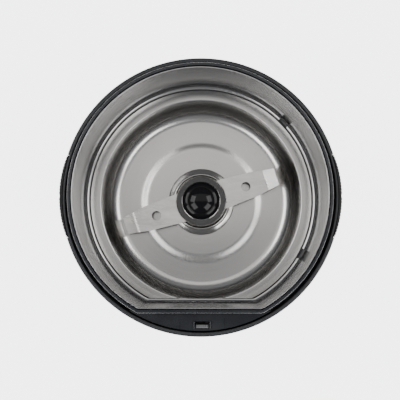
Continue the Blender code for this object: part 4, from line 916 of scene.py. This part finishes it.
# %% Screws of the base
for number in (1, 2, 3):
    low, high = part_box("base_screw_%d" % number)
    x, y = (low.x + high.x) / 2, (low.y + high.y) / 2
    head = (high.x - low.x) / 2
    under = low.z + 1.2 * mm
    screw = skin("cover_screw_%d" % number, turned(rounded([
        (0, low.z), (head - 0.6 * mm, low.z), (head, low.z + 0.6 * mm), (head, under),
        (1.1 * mm, under), (1.1 * mm, high.z), (0, high.z)],
        [0, 0.6 * mm, 0.4 * mm, 0.1 * mm, 0.1 * mm, 0.3 * mm, 0], 5), 40)
        + np.array([x, y, 0.0]), wrap_rows=False)
    cross = [block("cross", (x - a, y - b, low.z - 1 * mm), (x + a, y + b, low.z + 0.75 * mm))
             for a, b in ((1.5 * mm, 0.35 * mm), (0.35 * mm, 1.5 * mm))]
    combine(screw, cross)
    install(screw, plated.material, "steel_plated", "body", "base_screw_%d" % number)

# %% [markdown]
# ## What the body hides
#
# The motor, the switch and their fixings keep their CAD shapes, since little of them can be seen
# through the slots and vents. They still get real finishes, because someone may open the model:
# laminated iron with its fine stacked lines, copper wire, sintered bronze, carbon and nylon.

# %% Finishes of the hidden pieces
iron = Finish("stacked_iron", (0.22, 0.23, 0.25), 0.48, 0.9)
iron.relief(iron.cloud(300, 1.0, stretch=(0.05, 0.05, 7)), 0.05 * mm, 0.8)
iron.gloss(iron.cloud(90, 4.0), 0.40, 0.62)
copper = Finish("wound_copper", (0.78, 0.34, 0.17), 0.34, 1.0)
copper.relief(copper.cloud(320, 1.0, stretch=(1, 1, 6)), 0.10 * mm, 0.8)
copper.tint(copper.cloud(260, 3.0), (0.60, 0.24, 0.11), (0.86, 0.42, 0.22))
bronze = Finish("sintered_bronze", (0.58, 0.40, 0.21), 0.42, 1.0)
bronze.gloss(bronze.cloud(700, 4.0), 0.34, 0.56).relief(bronze.cloud(2600, 3.0), 0.010 * mm, 0.5)
carbon = Finish("brush_carbon", (0.035, 0.035, 0.038), 0.58, 0.1)
carbon.gloss(carbon.cloud(600, 4.0), 0.48, 0.70)
nylon = Finish("white_nylon", (0.74, 0.73, 0.69), 0.44)
nylon.put("Subsurface Weight", 0.05)
nylon.gloss(nylon.cloud(150, 3.0), 0.36, 0.52)
case_blue = Finish("capacitor_blue", (0.10, 0.20, 0.42), 0.40)
case_blue.gloss(case_blue.cloud(200, 3.0), 0.30, 0.50)
silicone = Finish("seal_silicone", (0.030, 0.031, 0.033), 0.58)
silicone.gloss(silicone.cloud(160, 3.0), 0.50, 0.66)
inside_grey = Finish("carrier_grey_plastic", (0.20, 0.21, 0.22), 0.46)
inside_grey.gloss(inside_grey.cloud(60, 4.0), 0.38, 0.56)
inside_grey.relief(inside_grey.cloud(2400, 2.0), 0.02 * mm, 0.4)

finish_of_slot = {
    "lamination": iron, "copper": copper, "bronze": bronze, "carbon": carbon, "white_nylon": nylon,
    "blue_box": case_blue, "silicone": silicone, "grey_plastic": inside_grey, "steel_plated": plated,
    "black_satin": satin, "black_rubber": rubber, "black_gloss": deck_black,
    "steel_polished": boss_steel, "steel_satin": blade_steel,
}
slot_of_node = {part["node"]: part["material_slot"] for part in frame["record"]["subparts"]}
kept = [name for name, piece in nodes.items() if not piece.hide_render]
for name in kept:
    node_mesh = nodes[name].data
    node_mesh.materials.clear()
    node_mesh.materials.append(finish_of_slot[slot_of_node[name]].material)
print("hidden pieces finished:", len(kept))

# %% [markdown]
# ## Floor, light and camera
#
# A steel bowl is a mirror: it shows the lights more than it shows itself. Four large soft lamps
# hang round the camera, which gives the cap its four bright patches and the fillet its broken
# ring of light, and a pale room fills in the rest. The floor is a plain white sheet.

# %% The floor
floor_finish = Finish("studio_white", (0.92, 0.92, 0.92), 0.85)
floor_finish.gloss(floor_finish.cloud(6, 2.0), 0.80, 0.92)
floor_finish.put("Emission Color", (1, 1, 1, 1))
floor_finish.put("Emission Strength", 4.0)
floor_mesh = bpy.data.meshes.new("studio_floor")
span = 40 * top
floor_corners = [(-span, -span, 0), (span, -span, 0), (span, span, 0), (-span, span, 0)]
floor_mesh.from_pydata(floor_corners, [], [(0, 1, 2, 3)])
floor_mesh.materials.append(floor_finish.material)
floor = bpy.data.objects.new("studio_floor", floor_mesh)
bpy.context.scene.collection.objects.link(floor)
floor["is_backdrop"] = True

# %% The lamps and the room
collar_middle = Vector((0, 0, top))


def softbox(name, azimuth, tilt, distance, width, depth, radiance, tone=(1, 1, 1)):
    """Rectangular lamp that faces the collar, seen from there at an azimuth and a tilt off the
    zenith in degrees. A flat lamp of radiance L gives out pi L for each square metre."""
    lamp = bpy.data.lights.new(name, "AREA")
    lamp.shape = "RECTANGLE"
    lamp.size, lamp.size_y = width, depth
    lamp.energy = radiance * math.pi * width * depth
    lamp.color = tone
    turn, lean = math.radians(azimuth), math.radians(tilt)
    away = Vector((math.sin(lean) * math.cos(turn), math.sin(lean) * math.sin(turn), math.cos(lean)))
    across = Vector((-math.sin(turn), math.cos(turn), 0))
    hung = bpy.data.objects.new(name, lamp)
    hung.matrix_world = Matrix.Translation(collar_middle + distance * away) @ Matrix(
        (across, away.cross(across), away)).transposed().to_4x4()
    bpy.context.scene.collection.objects.link(hung)


for number, azimuth in enumerate((18, 163, 215, 320), 1):
    softbox("softbox_%d" % number, azimuth, 30, 1.0, 0.38, 0.30, 5.0)
softbox("overhead", 90, 13, 1.15, 1.1, 0.50, 0.85, (1.0, 0.98, 0.95))

world = bpy.data.worlds.new("dim_room")
world.use_nodes = True
room = world.node_tree.nodes["Background"]
room.inputs["Color"].default_value = (0.93, 0.95, 1.0, 1.0)
room.inputs["Strength"].default_value = 0.28
bpy.context.scene.world = world

# %% The camera
view_point = Vector((3.4 * mm, -20.6 * mm, top + 300 * mm))
lens = bpy.data.cameras.new("camera")
lens.lens = 73.9
lens.shift_y = -0.015
lens.sensor_width = 36.0
lens.clip_start, lens.clip_end = 0.01, 20.0
camera = bpy.data.objects.new("camera", lens)
ahead = (collar_middle - view_point).normalized()
right = ahead.cross(Vector((0, 1, 0))).normalized()
upward = right.cross(ahead)
camera.matrix_world = Matrix.Translation(view_point) @ Matrix(
    (right, upward, -ahead)).transposed().to_4x4()
bpy.context.scene.collection.objects.link(camera)
bpy.context.scene.camera = camera
print("camera %.0f mm above the collar, lens %.1f mm" % ((view_point.z - top) / mm, lens.lens))

# %% [markdown]
# ## The size
#
# The fine surfaces must not outgrow the CAD model, since the physics uses the CAD model's hulls.
# The box round all shown pieces is printed.

# %% Print the box
low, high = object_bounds()
print("new box ", [round(v / mm, 2) for v in (*low, *high)])
